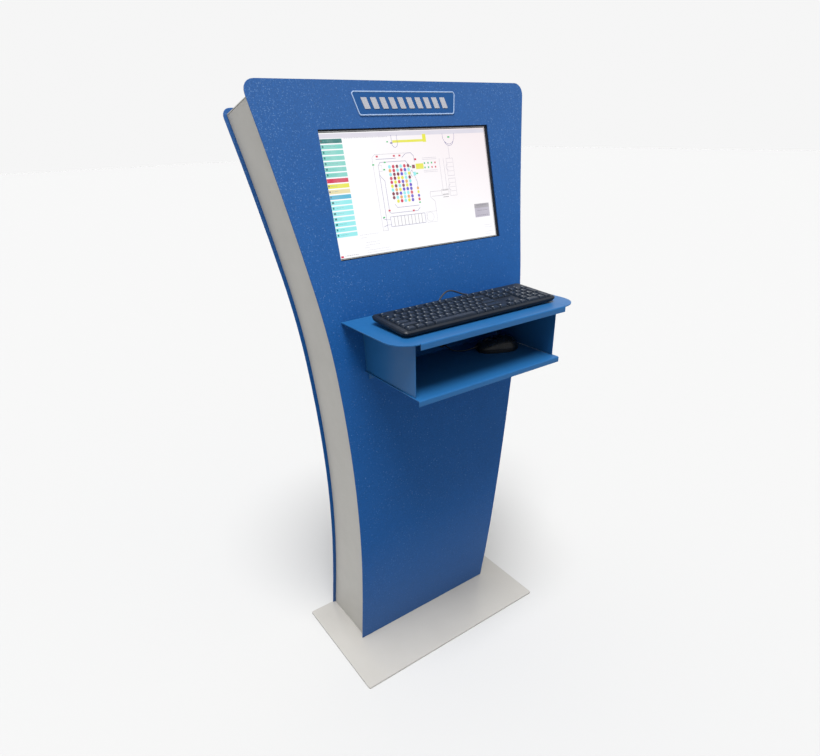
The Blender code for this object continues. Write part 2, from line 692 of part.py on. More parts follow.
def shelf_board(name, z, front, left_path, right_path, lip, lip_drop):
    """A folded sheet: the board, a lip turned down at the front and a flange turned down at the rear."""
    bend, relief, seat = 0.003, 0.0015, 0.0006
    low = z - SHELF_SHEET - REAR_FLANGE
    rear, rear_low = front_y(z) - seat, front_y(low) - seat
    half = CHEEK_X - SHELF_SHEET - 0.004
    bm = bmesh.new()

    def pair(x_low, x_high, y, height):
        return [bm.verts.new((x, y, height)) for x in (x_low, x_high)]

    fold = pair(*lip, front + bend, z)
    hinge = pair(half, -half, rear, z)
    sides = [[bm.verts.new((x, y, z)) for x, y in path] for path in (left_path, right_path)]
    reliefs = [[bm.verts.new((side * x, y, z)) for x, y in path] for side, path in (
        (1, ((half + relief, rear), (half + relief, rear - relief), (half, rear - relief))),
        (-1, ((half, rear - relief), (half + relief, rear - relief), (half + relief, rear))))]
    bm.faces.new(sides[0] + fold + sides[1] + reliefs[0] + hinge + reliefs[1])

    here = fold
    for step in range(1, 5):
        angle = math.radians(90 * step / 4)
        there = pair(*lip, front + bend - bend * math.sin(angle), z - bend + bend * math.cos(angle))
        bm.faces.new((here[0], there[0], there[1], here[1]))
        here = there
    there = pair(*lip, front, z - lip_drop)
    bm.faces.new((here[0], there[0], there[1], here[1]))
    there = pair(half, -half, rear_low, low)
    bm.faces.new((hinge[0], there[0], there[1], hinge[1]))

    board = add_part(name, bm, SHELF_BLUE, smooth=30)
    fold_sheet = board.modifiers.new("thickness", "SOLIDIFY")
    fold_sheet.thickness = SHELF_SHEET
    fold_sheet.offset = 1 if board.data.polygons[0].normal.z < 0 else -1
    fold_sheet.use_even_offset = True
    for x, level in bolt_places():
        if low < level < z:
            bm = bmesh.new()
            add_prism(bm, circle(0.0034, 12), "Z", -0.02, 0.02)
            combine(board, "DIFFERENCE", bm, front_frame(x, level))
    return board


def shelf_port_frame():
    return Matrix.Translation((*SHELF_PORT, SHELF_Z))


def shelf():
    back = front_y(SHELF_Z - SHELF_SHEET) - 0.0006
    left, right = SHELF_X - SHELF_HALF, SHELF_X + SHELF_HALF
    lip = (SHELF_X - LIP_HALF, SHELF_X + LIP_HALF)
    notch, slit = 0.0045, 0.0015
    steps = 8

    def corner(middle_x, start):
        turns = [math.radians(start + 90 * step / steps) for step in range(steps + 1)]
        middle_y = SHELF_FRONT_Y + SHELF_CORNER
        return [(middle_x + SHELF_CORNER * math.cos(a), middle_y + SHELF_CORNER * math.sin(a)) for a in turns]

    inner = SHELF_FRONT_Y + notch
    left_path = ([(left, back)] + corner(left + SHELF_CORNER, 180)
                 + [(lip[0] - slit, inner), (lip[0], inner)])
    right_path = ([(lip[1], inner), (lip[1] + slit, inner)]
                  + corner(right - SHELF_CORNER, 270) + [(right, back)])
    board = shelf_board("shelf_top", SHELF_Z, SHELF_FRONT_Y, left_path, right_path, lip, LIP_DROP)
    bm = bmesh.new()
    add_prism(bm, circle(0.009, 20), "Z", -0.01, 0.01)
    combine(board, "DIFFERENCE", bm, shelf_port_frame())

    back = front_y(TRAY_Z - SHELF_SHEET) - 0.0006
    lip = (-TRAY_HALF, TRAY_HALF)
    shelf_board("shelf_floor", TRAY_Z, TRAY_FRONT_Y, [(lip[0], back)], [(lip[1], back)], lip, TRAY_LIP_DROP)

    low, high = TRAY_Z + GAP, SHELF_Z - SHELF_SHEET - GAP
    between = [z for z in STATION_Z if low < z < high]
    cheek = [(CHEEK_FRONT_Y, high), (CHEEK_FRONT_Y, low)]
    cheek += [(front_y(z) - 0.0006, z) for z in [low] + between + [high]]
    for name, side in (("shelf_cheek_left", -1), ("shelf_cheek_right", 1)):
        ends = sorted((side * CHEEK_X, side * (CHEEK_X - SHELF_SHEET)))
        bm = bmesh.new()
        add_prism(bm, cheek, "X", *ends)
        add_part(name, bm, SHELF_BLUE)

    for index, (x, z) in enumerate(bolt_places()):
        bm = bmesh.new()
        head, flat, shank = 0.0050, 0.0040, 0.0029
        seat = 0.0006 + SHELF_SHEET + 0.0006
        stack = ((shank, -0.012), (shank, seat), (head, seat), (head, seat + flat - 0.0012),
                 (0.0032, seat + flat))
        add_stack(bm, stack, 12)
        add_part(f"shelf_bolt_{index + 1}", bm, STEEL, front_frame(x, z), smooth=40)


# ---------------------------------------------------------------- keyboard
def keyboard_frame():
    """Frame in the middle of the keyboard's underside, tilted with it."""
    place = Matrix.Translation(KEYBOARD_PLACE)
    tilt = Matrix.Rotation(KEYBOARD_TILT, 4, "X")
    return place @ tilt @ Matrix.Translation((0, KEYBOARD[1] / 2, 0))


def block_starts():
    """Left edges of the main, navigation and number blocks."""
    total = (MAIN_UNITS + NAV_UNITS + PAD_UNITS) * KEY_PITCH + 2 * BLOCK_GAP
    main = -total / 2
    nav = main + MAIN_UNITS * KEY_PITCH + BLOCK_GAP
    pad = nav + NAV_UNITS * KEY_PITCH + BLOCK_GAP
    return main, nav, pad


ROW_Y = (0.0465, 0.0235, 0.0045, -0.0145, -0.0335, -0.0525)
# Each row: key widths in pitches for the main, navigation and number blocks. Negative is a space.
ROWS = {
    "function_keys": ((1, -1, 1, 1, 1, 1, -0.5, 1, 1, 1, 1, -0.5, 1, 1, 1, 1), (1, 1, 1), ()),
    "number_keys": ((1,) * 13 + (2,), (1, 1, 1), (1, 1, 1, 1)),
    "upper_letter_keys": ((1.5,) + (1,) * 12 + (1.5,), (1, 1, 1), (1, 1, 1)),
    "home_letter_keys": ((1.75,) + (1,) * 11, (), (1, 1, 1)),
    "lower_letter_keys": ((2.25,) + (1,) * 10 + (2.75,), (-1, 1), (1, 1, 1)),
    "modifier_keys": ((1.25,) * 3 + (-6.25,) + (1.25,) * 4, (1, 1, 1), (2, 1)),
}


def row_cells(widths):
    """Left and right edges of each key of a row."""
    cells = []
    for start, block in zip(block_starts(), widths):
        x = start
        for width in block:
            span = abs(width) * KEY_PITCH
            if width > 0:
                cells.append((x + KEY_GAP / 2, x + span - KEY_GAP / 2))
            x += span
    return cells


def key_row(name, y, widths, frame):
    """Keys that stand on one web. The web slides down with them."""
    cells = row_cells(widths)
    edges = [cells[0][0] - 0.002] + [x for cell in cells for x in cell] + [cells[-1][1] + 0.002]
    half = KEY_DEPTH / 2
    bm = bmesh.new()
    section = ((-half, WEB[0]), (half, WEB[0]), (half, WEB[1]), (-half, WEB[1]))
    columns = [[bm.verts.new((x, y_off, z)) for y_off, z in section] for x in edges]
    for index, (here, there) in enumerate(zip(columns[:-1], columns[1:])):
        bm.faces.new((here[0], here[1], there[1], there[0]))
        bm.faces.new((here[1], here[2], there[2], there[1]))
        bm.faces.new((here[3], here[0], there[0], there[3]))
        if index % 2:
            key_cap(bm, (here[3], there[3], there[2], here[2]), KEY_TOP)
        else:
            bm.faces.new((here[3], there[3], there[2], here[2]))
    bm.faces.new(columns[0])
    bm.faces.new(columns[-1])
    add_part(name, bm, KEY_BLACK, frame @ Matrix.Translation((0, y, 0)))


def key_cap(bm, corners, top):
    """Four sloping sides and a top, on an open ring of four corners."""
    middle = sum((vert.co for vert in corners), Vector()) / 4
    upper = []
    for vert in corners:
        x = vert.co.x - math.copysign(0.0020, vert.co.x - middle.x)
        y = vert.co.y - math.copysign(0.0018, vert.co.y - middle.y) + 0.0004
        upper.append(bm.verts.new((x, y, top)))
    for index in range(4):
        following = (index + 1) % 4
        bm.faces.new((corners[index], corners[following], upper[following], upper[index]))
    bm.faces.new(upper)


def loose_key(name, x_range, y_range, frame):
    """A large key with its own travel."""
    centre = ((x_range[0] + x_range[1]) / 2, (y_range[0] + y_range[1]) / 2)
    half = ((x_range[1] - x_range[0] - KEY_GAP) / 2, (y_range[1] - y_range[0]) / 2)
    bm = bmesh.new()
    turns = ((-1, -1), (1, -1), (1, 1), (-1, 1))
    corners = [bm.verts.new((side_x * half[0], side_y * half[1], LOOSE_KEY_LOW)) for side_x, side_y in turns]
    key_cap(bm, corners, KEY_TOP)
    bm.faces.new(corners[::-1])
    add_part(name, bm, KEY_BLACK, frame @ Matrix.Translation((*centre, 0)))


def cover_openings():
    """Outlines of the cut-outs for each unbroken group of keys."""
    main, nav, pad = block_starts()
    edge = 0.0004
    reach = KEY_DEPTH / 2 + 0.0008
    rows = [(y - reach, y + reach) for y in ROW_Y]

    def span(start, units, low, high):
        return ((start + edge, low), (start + units * KEY_PITCH - edge, low),
                (start + units * KEY_PITCH - edge, high), (start + edge, high))

    outlines = [span(main, MAIN_UNITS, rows[5][0], rows[1][1]), span(pad, PAD_UNITS, rows[5][0], rows[1][1]),
                span(nav, NAV_UNITS, rows[2][0], rows[1][1]), span(nav, NAV_UNITS, *rows[0])]
    for offset, units in ((0, 1), (2, 4), (6.5, 4), (11, 4)):
        outlines.append(span(main + offset * KEY_PITCH, units, *rows[0]))
    left, middle, right, end = (nav + unit * KEY_PITCH for unit in range(4))
    shoulder = rows[5][1]
    outlines.append(((left + edge, rows[5][0]), (end - edge, rows[5][0]), (end - edge, shoulder),
                     (right - edge, shoulder), (right - edge, rows[4][1]), (middle + edge, rows[4][1]),
                     (middle + edge, shoulder), (left + edge, shoulder)))
    return outlines


def keyboard_case(frame):
    """A shallow tray with an undercut rim, and a cover with an opening for each group of keys."""
    def outline(side, front, radius, z):
        size = (KEYBOARD[0] - 2 * side, KEYBOARD[1] - side - front)
        shift = (front - side) / 2
        return [Vector((x, y + shift, z)) for x, y in rounded_rectangle(size, radius, 4)]

    bm = bmesh.new()
    add_loft(bm, [outline(0.009, 0.009, 0.022, 0.0), outline(0.002, 0.002, 0.014, 0.0035),
                  outline(0.0, 0.0, 0.012, CASE_SPLIT)])
    base = add_part("keyboard_base", bm, BLACK, frame, smooth=30)
    bm = bmesh.new()
    inside = (KEYBOARD[0] / 2 - 0.0085, KEYBOARD[1] / 2 - 0.0052)
    add_box(bm, (-inside[0], -inside[1], 0.0038), (inside[0], inside[1], 0.020))
    combine(base, "DIFFERENCE", bm, frame)

    bm = bmesh.new()
    top = CASE_PLATE[1]
    add_loft(bm, [outline(0.0, 0.0, 0.012, CASE_SPLIT + GAP), outline(0.0, 0.0, 0.010, 0.0115),
                  outline(0.0025, 0.0045, 0.008, top)])
    cover = add_part("keyboard_cover", bm, BLACK, frame, smooth=30)
    bm = bmesh.new()
    add_box(bm, (-inside[0], -inside[1], 0.0), (inside[0], inside[1], CASE_PLATE[0]))
    combine(cover, "DIFFERENCE", bm, frame)
    bm = bmesh.new()
    for opening in cover_openings():
        add_prism(bm, opening, "Z", 0.005, 0.020)
    combine(cover, "DIFFERENCE", bm, frame)


def keyboard():
    frame = keyboard_frame()
    keyboard_case(frame)
    for y, (name, widths) in zip(ROW_Y, ROWS.items()):
        key_row(name, y, widths, frame)
    main, _, pad = block_starts()
    half = KEY_DEPTH / 2
    space = main + 3.75 * KEY_PITCH
    loose_key("space_bar", (space, space + 6.25 * KEY_PITCH), (ROW_Y[5] - half, ROW_Y[5] + half), frame)
    enter = main + 12.75 * KEY_PITCH
    loose_key("return_key", (enter, enter + 2.25 * KEY_PITCH), (ROW_Y[3] - half, ROW_Y[3] + half), frame)
    last = pad + 3 * KEY_PITCH
    loose_key("pad_plus_key", (last, last + KEY_PITCH), (ROW_Y[3] - half, ROW_Y[2] + half), frame)
    loose_key("pad_enter_key", (last, last + KEY_PITCH), (ROW_Y[5] - half, ROW_Y[4] + half), frame)

    pivot_y, pivot_z = 0.056, -0.0018
    for name, x in (("keyboard_foot_left", -0.185), ("keyboard_foot_right", 0.185)):
        bm = bmesh.new()
        add_box(bm, (-0.011, -0.0010, -0.0046), (0.011, 0.0010, 0.0008))
        add_part(name, bm, BLACK, frame @ Matrix.Translation((x, pivot_y, pivot_z)))

    start, following = Vector(KEYBOARD_ROUTE[0]), Vector(KEYBOARD_ROUTE[1])
    strain_relief("keyboard_strain_relief", start, following - start, 0.0130, KEYBOARD_CORD)


def strain_relief(name, tip, heading, length, cord):
    """A tapered sleeve that ends at the cord's first point."""
    back = -heading.normalized()
    frame = Matrix.Translation(tip) @ back.to_track_quat("Z", "Y").to_matrix().to_4x4()
    stack = ((cord * 0.62, GAP), (cord * 0.95, length * 0.7), (cord * 1.15, length * 0.75),
             (cord * 1.15, length - GAP))
    bm = bmesh.new()
    add_stack(bm, stack, 12)
    add_part(name, bm, RUBBER, frame, smooth=40)


# ---------------------------------------------------------------- mouse
def mouse_half_width(x):
    reach = min(abs(2 * x / MOUSE[0]), 1.0)
    return MOUSE[1] / 2 * (1 - reach ** 2.8) ** 0.45


def mouse_ridge(x):
    crest = -0.008
    if x < crest:
        return MOUSE[2] * (1 - ((crest - x) / 0.052) ** 2.6) ** 0.5
    return MOUSE[2] * (1 - 0.5 * ((x - crest) / 0.062) ** 2)


def mouse_height(x, y, half):
    return mouse_ridge(x) * (1 - 0.45 * abs(y / half) ** 2.6)


def mouse_stations(low, high, count):
    return [low + (high - low) * step / (count - 1) for step in range(count)]


def mouse_patch(bm, stations, inner, outer, bottom, steps):
    """A loft whose sections run from the inner to the outer side, under the mouse's top surface."""
    sections = []
    for x in stations:
        half = mouse_half_width(x)
        low_y, high_y = inner(half), outer(half)
        across = [low_y + (high_y - low_y) * step / (steps - 1) for step in range(steps)]
        upper = [Vector((x, y, mouse_height(x, y, half))) for y in across]
        lower = [Vector((x, y, bottom(x, y, half))) for y in across[::-1]]
        sections.append(upper + lower)
    add_loft(bm, sections)


def mouse():
    frame = Matrix.Translation((*MOUSE_PLACE, TRAY_Z)) @ Matrix.Rotation(MOUSE_YAW, 4, "Z")
    reach = MOUSE[0] / 2
    stations = mouse_stations(-reach + 0.0012, reach - 0.0030, 11)
    bm = bmesh.new()
    sides = [(x, mouse_half_width(x)) for x in stations]
    outline = [(x, -half) for x, half in sides] + [(x, half) for x, half in sides[::-1]]
    add_prism(bm, outline, "Z", GAP, MOUSE_BASE_TOP)
    add_part("mouse_base", bm, BLACK, frame, smooth=40)

    floor = MOUSE_BASE_TOP + GAP
    rear = mouse_stations(-reach + 0.0012, MOUSE_SPLIT_X, 8)
    bm = bmesh.new()
    mouse_patch(bm, rear, lambda half: -half, lambda half: half, lambda x, y, half: floor, 9)
    shell = add_part("mouse_shell", bm, BLACK, frame, smooth=50)
    bm = bmesh.new()
    spine = 0.0042
    front = mouse_stations(MOUSE_SPLIT_X - 0.004, reach - 0.006, 6)
    sections = []
    for x in front:
        low, high = floor + 0.0002, mouse_ridge(x) - 0.0012
        outline = ((-spine, low), (spine, low), (spine, high), (-spine, high))
        sections.append([Vector((x, y, z)) for y, z in outline])
    add_loft(bm, sections)
    combine(shell, "UNION", bm, frame)
    bm = bmesh.new()
    wheel_x, wheel_z = WHEEL_PLACE
    slot = WHEEL[0] + 0.0010
    add_box(bm, (wheel_x - slot, -0.02, wheel_z - slot), (wheel_x + slot, 0.02, 0.05))
    combine(shell, "DIFFERENCE", bm, frame)

    fore = mouse_stations(MOUSE_SPLIT_X + 0.0006, reach - 0.0040, 7)
    inner = spine + 0.0005
    hinge = Vector((MOUSE_SPLIT_X + 0.0006, 0, mouse_ridge(MOUSE_SPLIT_X) - 0.001))
    for name, side in (("mouse_button_left", 1), ("mouse_button_right", -1)):
        bm = bmesh.new()
        mouse_patch(bm, fore, lambda half: side * inner, lambda half: side * half * 0.985,
                    lambda x, y, half: max(floor + 0.0002 + 0.045 * (x - MOUSE_SPLIT_X),
                                           mouse_height(x, y, half) - 0.010), 6)
        bmesh.ops.translate(bm, verts=bm.verts, vec=-hinge)
        add_part(name, bm, BLACK, frame @ Matrix.Translation(hinge), smooth=50)

    bm = bmesh.new()
    add_prism(bm, circle(WHEEL[0], 18), "Y", -WHEEL[1] / 2, WHEEL[1] / 2)
    add_part("mouse_wheel", bm, RUBBER, frame @ Matrix.Translation((wheel_x, 0, wheel_z)), smooth=40)

    start, following = Vector(MOUSE_ROUTE[0]), Vector(MOUSE_ROUTE[1])
    strain_relief("mouse_strain_relief", start, following - start, 0.009, MOUSE_CORD)


# ---------------------------------------------------------------- cords
def smooth_route(points, samples):
    """Points of a Catmull-Rom curve through the route, spread evenly between its own points."""
    route = [Vector(point) for point in points]
    route = [route[0] * 2 - route[1]] + route + [route[-1] * 2 - route[-2]]
    spans = len(points) - 1
    result = []
    for sample in range(samples):
        position = spans * sample / (samples - 1)
        span = min(int(position), spans - 1)
        t = position - span
        a, b, c, d = route[span:span + 4]
        result.append(0.5 * (2 * b + (c - a) * t + (2 * a - 5 * b + 4 * c - d) * t ** 2
                             + (3 * b - a - 3 * c + d) * t ** 3))
    return result


def cord(name, points, diameter):
    curve = bpy.data.curves.new(name, "CURVE")
    curve.dimensions = "3D"
    curve.bevel_depth = diameter / 2
    curve.bevel_resolution = 2
    curve.use_fill_caps = True
    route = smooth_route(points, CORD_SAMPLES)
    spline = curve.splines.new("POLY")
    spline.points.add(len(route) - 1)
    for point, place in zip(spline.points, route):
        point.co = (*place, 1.0)
    obj = bpy.data.objects.new(name, curve)
    bpy.context.scene.collection.objects.link(obj)
    dress(obj, RUBBER)


def build():
    for obj in list(bpy.data.objects):
        bpy.data.objects.remove(obj)
    base_plate()
    foot_frame()
    side_panel("side_panel_left", -1)
    side_panel("side_panel_right", 1)
    top_cap()
    front_panel()
    badge_plate()
    rear_panel()
    service_door()
    cam_lock()
    exhaust_fan()
    display()
    electronics()
    shelf()
    keyboard()
    mouse()
    grommet("shelf_grommet", shelf_port_frame(), SHELF_SHEET)
    grommet("keyboard_grommet", front_frame(*KEYBOARD_PORT), SHEET)
    grommet("mouse_grommet", front_frame(*MOUSE_PORT), SHEET)
    cord("keyboard_cord", KEYBOARD_ROUTE, KEYBOARD_CORD)
    cord("mouse_cord", MOUSE_ROUTE, MOUSE_CORD)


build()
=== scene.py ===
"""Looks of a curved information kiosk: powder coated sheets, a lit display, a keyboard and a mouse."""

import json
import math
import random

import bmesh
import bpy
from mathutils import Matrix, Vector
from mathutils.bvhtree import BVHTree


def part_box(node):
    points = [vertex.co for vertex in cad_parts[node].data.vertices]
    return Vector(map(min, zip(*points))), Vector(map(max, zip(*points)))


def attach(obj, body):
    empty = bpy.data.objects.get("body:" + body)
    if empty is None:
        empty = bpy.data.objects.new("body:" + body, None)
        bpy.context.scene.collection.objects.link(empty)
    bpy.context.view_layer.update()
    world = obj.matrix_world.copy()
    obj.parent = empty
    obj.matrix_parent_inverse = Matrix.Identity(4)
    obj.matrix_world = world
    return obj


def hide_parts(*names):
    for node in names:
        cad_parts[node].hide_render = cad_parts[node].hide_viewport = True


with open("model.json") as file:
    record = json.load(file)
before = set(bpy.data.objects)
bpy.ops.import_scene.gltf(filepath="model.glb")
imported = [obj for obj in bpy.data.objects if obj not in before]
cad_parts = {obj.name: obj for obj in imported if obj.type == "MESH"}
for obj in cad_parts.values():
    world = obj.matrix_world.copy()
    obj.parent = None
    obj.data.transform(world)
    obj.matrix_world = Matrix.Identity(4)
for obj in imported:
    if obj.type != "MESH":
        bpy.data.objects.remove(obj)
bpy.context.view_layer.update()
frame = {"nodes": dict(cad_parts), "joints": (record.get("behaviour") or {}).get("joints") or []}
JOINTS = {joint["name"]: joint for joint in frame["joints"]}

CABINET = "cabinet"
DOOR = "service_door"

# Places and sizes in metres
EYE = Vector((-0.8729, -1.1693, 1.4267))
HEADING, PITCH, ROLL = math.radians(-33.92), math.radians(25.77), math.radians(-1.576)
LENS, SENSOR = 25.565, 36.0
SHIFT = (0.01743, 0.03565)

HEAD_LEAN = math.radians(13.92)
KEY_PITCH = 0.019
KEY_DEPTH = 0.0160
KEY_GAP = 0.0030
CAP_TALL = 0.0190 - 0.0145         # key tops above the plate between the keys
BLOCK_GAP = 0.0045
MAIN_UNITS, NAV_UNITS, PAD_UNITS = 15, 3, 4
BADGE_SLANTS = (0.0150, 0.0100)
BADGE_EDGE = 0.0026                # width of the badge's raised rim
PICTURE = (0.4766, 0.2681)         # the lit part of the screen
PANEL_THICK = 0.008
CORD_SAMPLES = 78
KEYBOARD_CORD, MOUSE_CORD = 0.0038, 0.0032

KEYBOARD_ROUTE = (
    (-0.0112, -0.0920, 1.0428), (-0.0102, -0.0880, 1.0433), (-0.0058, -0.0840, 1.0450),
    (0.0034, -0.0800, 1.0500), (0.0148, -0.0765, 1.0558), (0.0260, -0.0745, 1.0584),
    (0.0375, -0.0735, 1.0575), (0.0502, -0.0735, 1.0536), (0.0639, -0.0735, 1.0476),
    (0.0768, -0.0735, 1.0423), (0.0860, -0.0736, 1.0402), (0.0936, -0.0738, 1.0378),
    (0.0983, -0.0740, 1.0336), (0.0999, -0.0740, 1.0280), (0.1000, -0.0740, 1.0210),
    (0.1000, -0.0742, 1.0110), (0.1000, -0.0732, 1.0010), (0.1000, -0.0695, 0.9925),
    (0.1000, -0.0633, 0.9868), (0.1000, -0.0550, 0.9846), (0.1000, -0.0462, 0.9836),
    (0.1003, -0.0378, 0.9808), (0.1020, -0.0305, 0.9745), (0.1060, -0.0258, 0.9630),
    (0.1130, -0.0238, 0.9380), (0.1220, -0.0250, 0.8900), (0.1280, -0.0330, 0.7600),
    (0.1300, -0.0350, 0.5500), (0.1310, -0.0260, 0.3600), (0.1360, -0.0220, 0.2950),
    (0.1600, -0.0210, 0.2640), (0.1840, -0.0210, 0.2950), (0.1890, -0.0220, 0.3600),
    (0.1890, -0.0240, 0.5200), (0.1850, -0.0210, 0.6000), (0.1720, -0.0100, 0.6500),
    (0.1480, 0.0030, 0.6880), (0.1240, 0.0110, 0.7010), (0.1050, 0.0120, 0.7020),
    (0.0932, 0.0120, 0.7020),
)
MOUSE_ROUTE = (
    (0.0740, -0.1236, 0.9142), (0.0672, -0.1206, 0.9121), (0.0560, -0.1140, 0.9090),
    (0.0440, -0.1050, 0.9073), (0.0330, -0.0960, 0.9085), (0.0250, -0.0860, 0.9130),
    (0.0210, -0.0750, 0.9185), (0.0200, -0.0630, 0.9218), (0.0200, -0.0500, 0.9215),
    (0.0230, -0.0385, 0.9120), (0.0350, -0.0370, 0.8900), (0.0620, -0.0430, 0.8500),
    (0.0930, -0.0500, 0.7900), (0.1080, -0.0530, 0.7000), (0.1120, -0.0500, 0.5500),
    (0.1130, -0.0400, 0.3000), (0.1160, -0.0320, 0.2200), (0.1390, -0.0280, 0.1880),
    (0.1620, -0.0310, 0.2200), (0.1660, -0.0380, 0.3000), (0.1680, -0.0400, 0.4800),
    (0.1640, -0.0300, 0.5800), (0.1450, -0.0020, 0.6400), (0.1200, 0.0110, 0.6520),
    (0.1050, 0.0120, 0.6530), (0.0932, 0.0120, 0.6530),
)


# ---------------------------------------------------------------- camera
def make_camera():
    ahead = Vector((-math.sin(HEADING), math.cos(HEADING), 0))
    forward = ahead * math.cos(PITCH) - Vector((0, 0, math.sin(PITCH)))
    level = Vector((math.cos(HEADING), math.sin(HEADING), 0))
    above = level.cross(forward)
    right = level * math.cos(ROLL) + above * math.sin(ROLL)
    up = above * math.cos(ROLL) - level * math.sin(ROLL)
    data = bpy.data.cameras.new("camera")
    data.sensor_width = SENSOR
    data.lens = LENS
    data.shift_x, data.shift_y = SHIFT
    data.clip_start, data.clip_end = 0.01, 60
    camera = bpy.data.objects.new("camera", data)
    bpy.context.scene.collection.objects.link(camera)
    turn = Matrix((right, up, -forward)).transposed().to_4x4()
    camera.matrix_world = Matrix.Translation(EYE) @ turn
    bpy.context.scene.camera = camera


make_camera()


# ---------------------------------------------------------------- materials
class Nodes:
    """A Principled material with short calls for the nodes that shape it."""

    def __init__(self, name, colour, roughness, metallic=0.0):
        self.material = bpy.data.materials.new(name)
        self.material.use_nodes = True
        self.tree = self.material.node_tree
        self.shader = self.tree.nodes["Principled BSDF"]
        self.colour = (*colour, 1.0)
        self.shader.inputs["Base Color"].default_value = self.colour
        self.shader.inputs["Roughness"].default_value = roughness
        self.shader.inputs["Metallic"].default_value = metallic
        self.place = self.tree.nodes.new("ShaderNodeTexCoord").outputs["Object"]
        self.height = None

    def link(self, source, target):
        self.tree.links.new(source, target)

    def stretched(self, scale):
        mapping = self.tree.nodes.new("ShaderNodeMapping")
        mapping.inputs["Scale"].default_value = scale
        self.link(self.place, mapping.inputs["Vector"])
        return mapping.outputs["Vector"]

    def noise(self, size, detail=2.0, rough=0.5, place=None):
        node = self.tree.nodes.new("ShaderNodeTexNoise")
        node.inputs["Scale"].default_value = 1 / size
        node.inputs["Detail"].default_value = detail
        node.inputs["Roughness"].default_value = rough
        self.link(place or self.place, node.inputs["Vector"])
        return node.outputs["Fac"]

    def spots(self, size):
        """Distance to the nearest of many scattered points."""
        node = self.tree.nodes.new("ShaderNodeTexVoronoi")
        node.inputs["Scale"].default_value = 1 / size
        self.link(self.place, node.inputs["Vector"])
        return node.outputs["Distance"]

    def axes(self):
        node = self.tree.nodes.new("ShaderNodeSeparateXYZ")
        self.link(self.place, node.inputs[0])
        return node.outputs

    def remap(self, value, low, high, to_low, to_high):
        node = self.tree.nodes.new("ShaderNodeMapRange")
        limits = {"From Min": low, "From Max": high, "To Min": to_low, "To Max": to_high}
        for name, number in limits.items():
            node.inputs[name].default_value = number
        self.link(value, node.inputs["Value"])
        return node.outputs["Result"]

    def mix(self, factor, first, second):
        node = self.tree.nodes.new("ShaderNodeMix")
        node.data_type = "RGBA"
        for name, value in (("Factor", factor), ("A", first), ("B", second)):
            sockets = [socket for socket in node.inputs if socket.name == name and socket.enabled]
            if isinstance(value, bpy.types.NodeSocket):
                self.link(value, sockets[0])
            elif name == "Factor":
                sockets[0].default_value = value
            else:
                sockets[0].default_value = (*value[:3], 1.0)
        return [socket for socket in node.outputs if socket.enabled][0]

    def product(self, first, second, extra=0.0):
        """first * second + extra, where second and extra are numbers or sockets."""
        node = self.tree.nodes.new("ShaderNodeMath")
        node.operation = "MULTIPLY_ADD"
        for socket, value in zip(node.inputs, (first, second, extra)):
            if isinstance(value, bpy.types.NodeSocket):
                self.link(value, socket)
            else:
                socket.default_value = value
        return node.outputs[0]

    def scaled(self, factor):
        return tuple(channel * factor for channel in self.colour[:3])

    def paint(self, colour):
        self.link(colour, self.shader.inputs["Base Color"])

    def rough(self, value):
        self.link(value, self.shader.inputs["Roughness"])

    def bump(self, value, distance, strength=1.0):
        node = self.tree.nodes.new("ShaderNodeBump")
        node.inputs["Strength"].default_value = strength
        node.inputs["Distance"].default_value = distance
        self.link(value, node.inputs["Height"])
        if self.height:
            self.link(self.height, node.inputs["Normal"])
        self.height = node.outputs["Normal"]
        self.link(self.height, self.shader.inputs["Normal"])


def textured_powder(name, colour, roughness, gloss):
    """Structured powder coat: a fine pebbled grain with pale flecks, more of them towards the top as
    painted glints, and a painted reflection that greys the top and the foot.
    """
    n = Nodes(name, colour, roughness)
    axes = n.axes()
    x, height = axes["X"], axes["Z"]
    # Painted reflection: the blue greys towards the top, standing for the sheen of overhead light, and near
    # the foot, standing for the base reflected there.
    head = n.remap(height, 0.95, 1.50, 0.0, 1.0)
    foot_painted_reflection = n.remap(height, 0.05, 0.40, 0.070, 0.0)
    painted_reflection = n.product(head, 0.065, foot_painted_reflection)
    cloud = n.remap(n.noise(0.030, 3.0, 0.6), 0.3, 0.7, 0.0, 1.0)
    shade = n.mix(cloud, n.scaled(0.96), n.scaled(1.05))
    pebbles = n.remap(n.noise(0.0026, 2.0, 0.6), 0.35, 0.65, 0.0, 1.0)
    grain = n.mix(pebbles, n.scaled(0.78), n.scaled(1.24))
    # Painted reflection: the grey that the blue is mixed towards.
    body = n.mix(painted_reflection, n.mix(0.5, shade, grain), (0.30, 0.33, 0.38))
    near = n.remap(n.spots(0.0030), 0.20, 0.42, 1.0, 0.0)
    edge = n.remap(n.product(x, x), 0.03, 0.12, 0.0, 1.0)
    # Painted glints: the flecks grow denser towards the top and most at its left and right corners,
    # standing for light glinting on the coat; the rest are the coat's own pale flecks.
    corner = n.product(n.product(head, edge), 0.075, n.product(head, 0.075))
    patch = n.product(n.noise(0.090, 2.0), 0.22, n.product(n.noise(0.0050, 1.0), 1.0, corner))
    fleck_and_glint = n.product(near, n.remap(patch, 0.71, 0.85, 0.0, 0.36))
    n.paint(n.mix(fleck_and_glint, body, (0.200, 0.340, 0.560)))
    n.rough(n.remap(n.noise(0.0035, 2.0), 0.3, 0.7, roughness - 0.07, roughness + 0.10))
    n.bump(n.noise(0.0026, 2.0, 0.55), 0.00022, 0.8)
    n.bump(n.noise(0.0009, 1.0), 0.00005, 0.6)
    n.shader.inputs["Specular IOR Level"].default_value = gloss
    return n.material


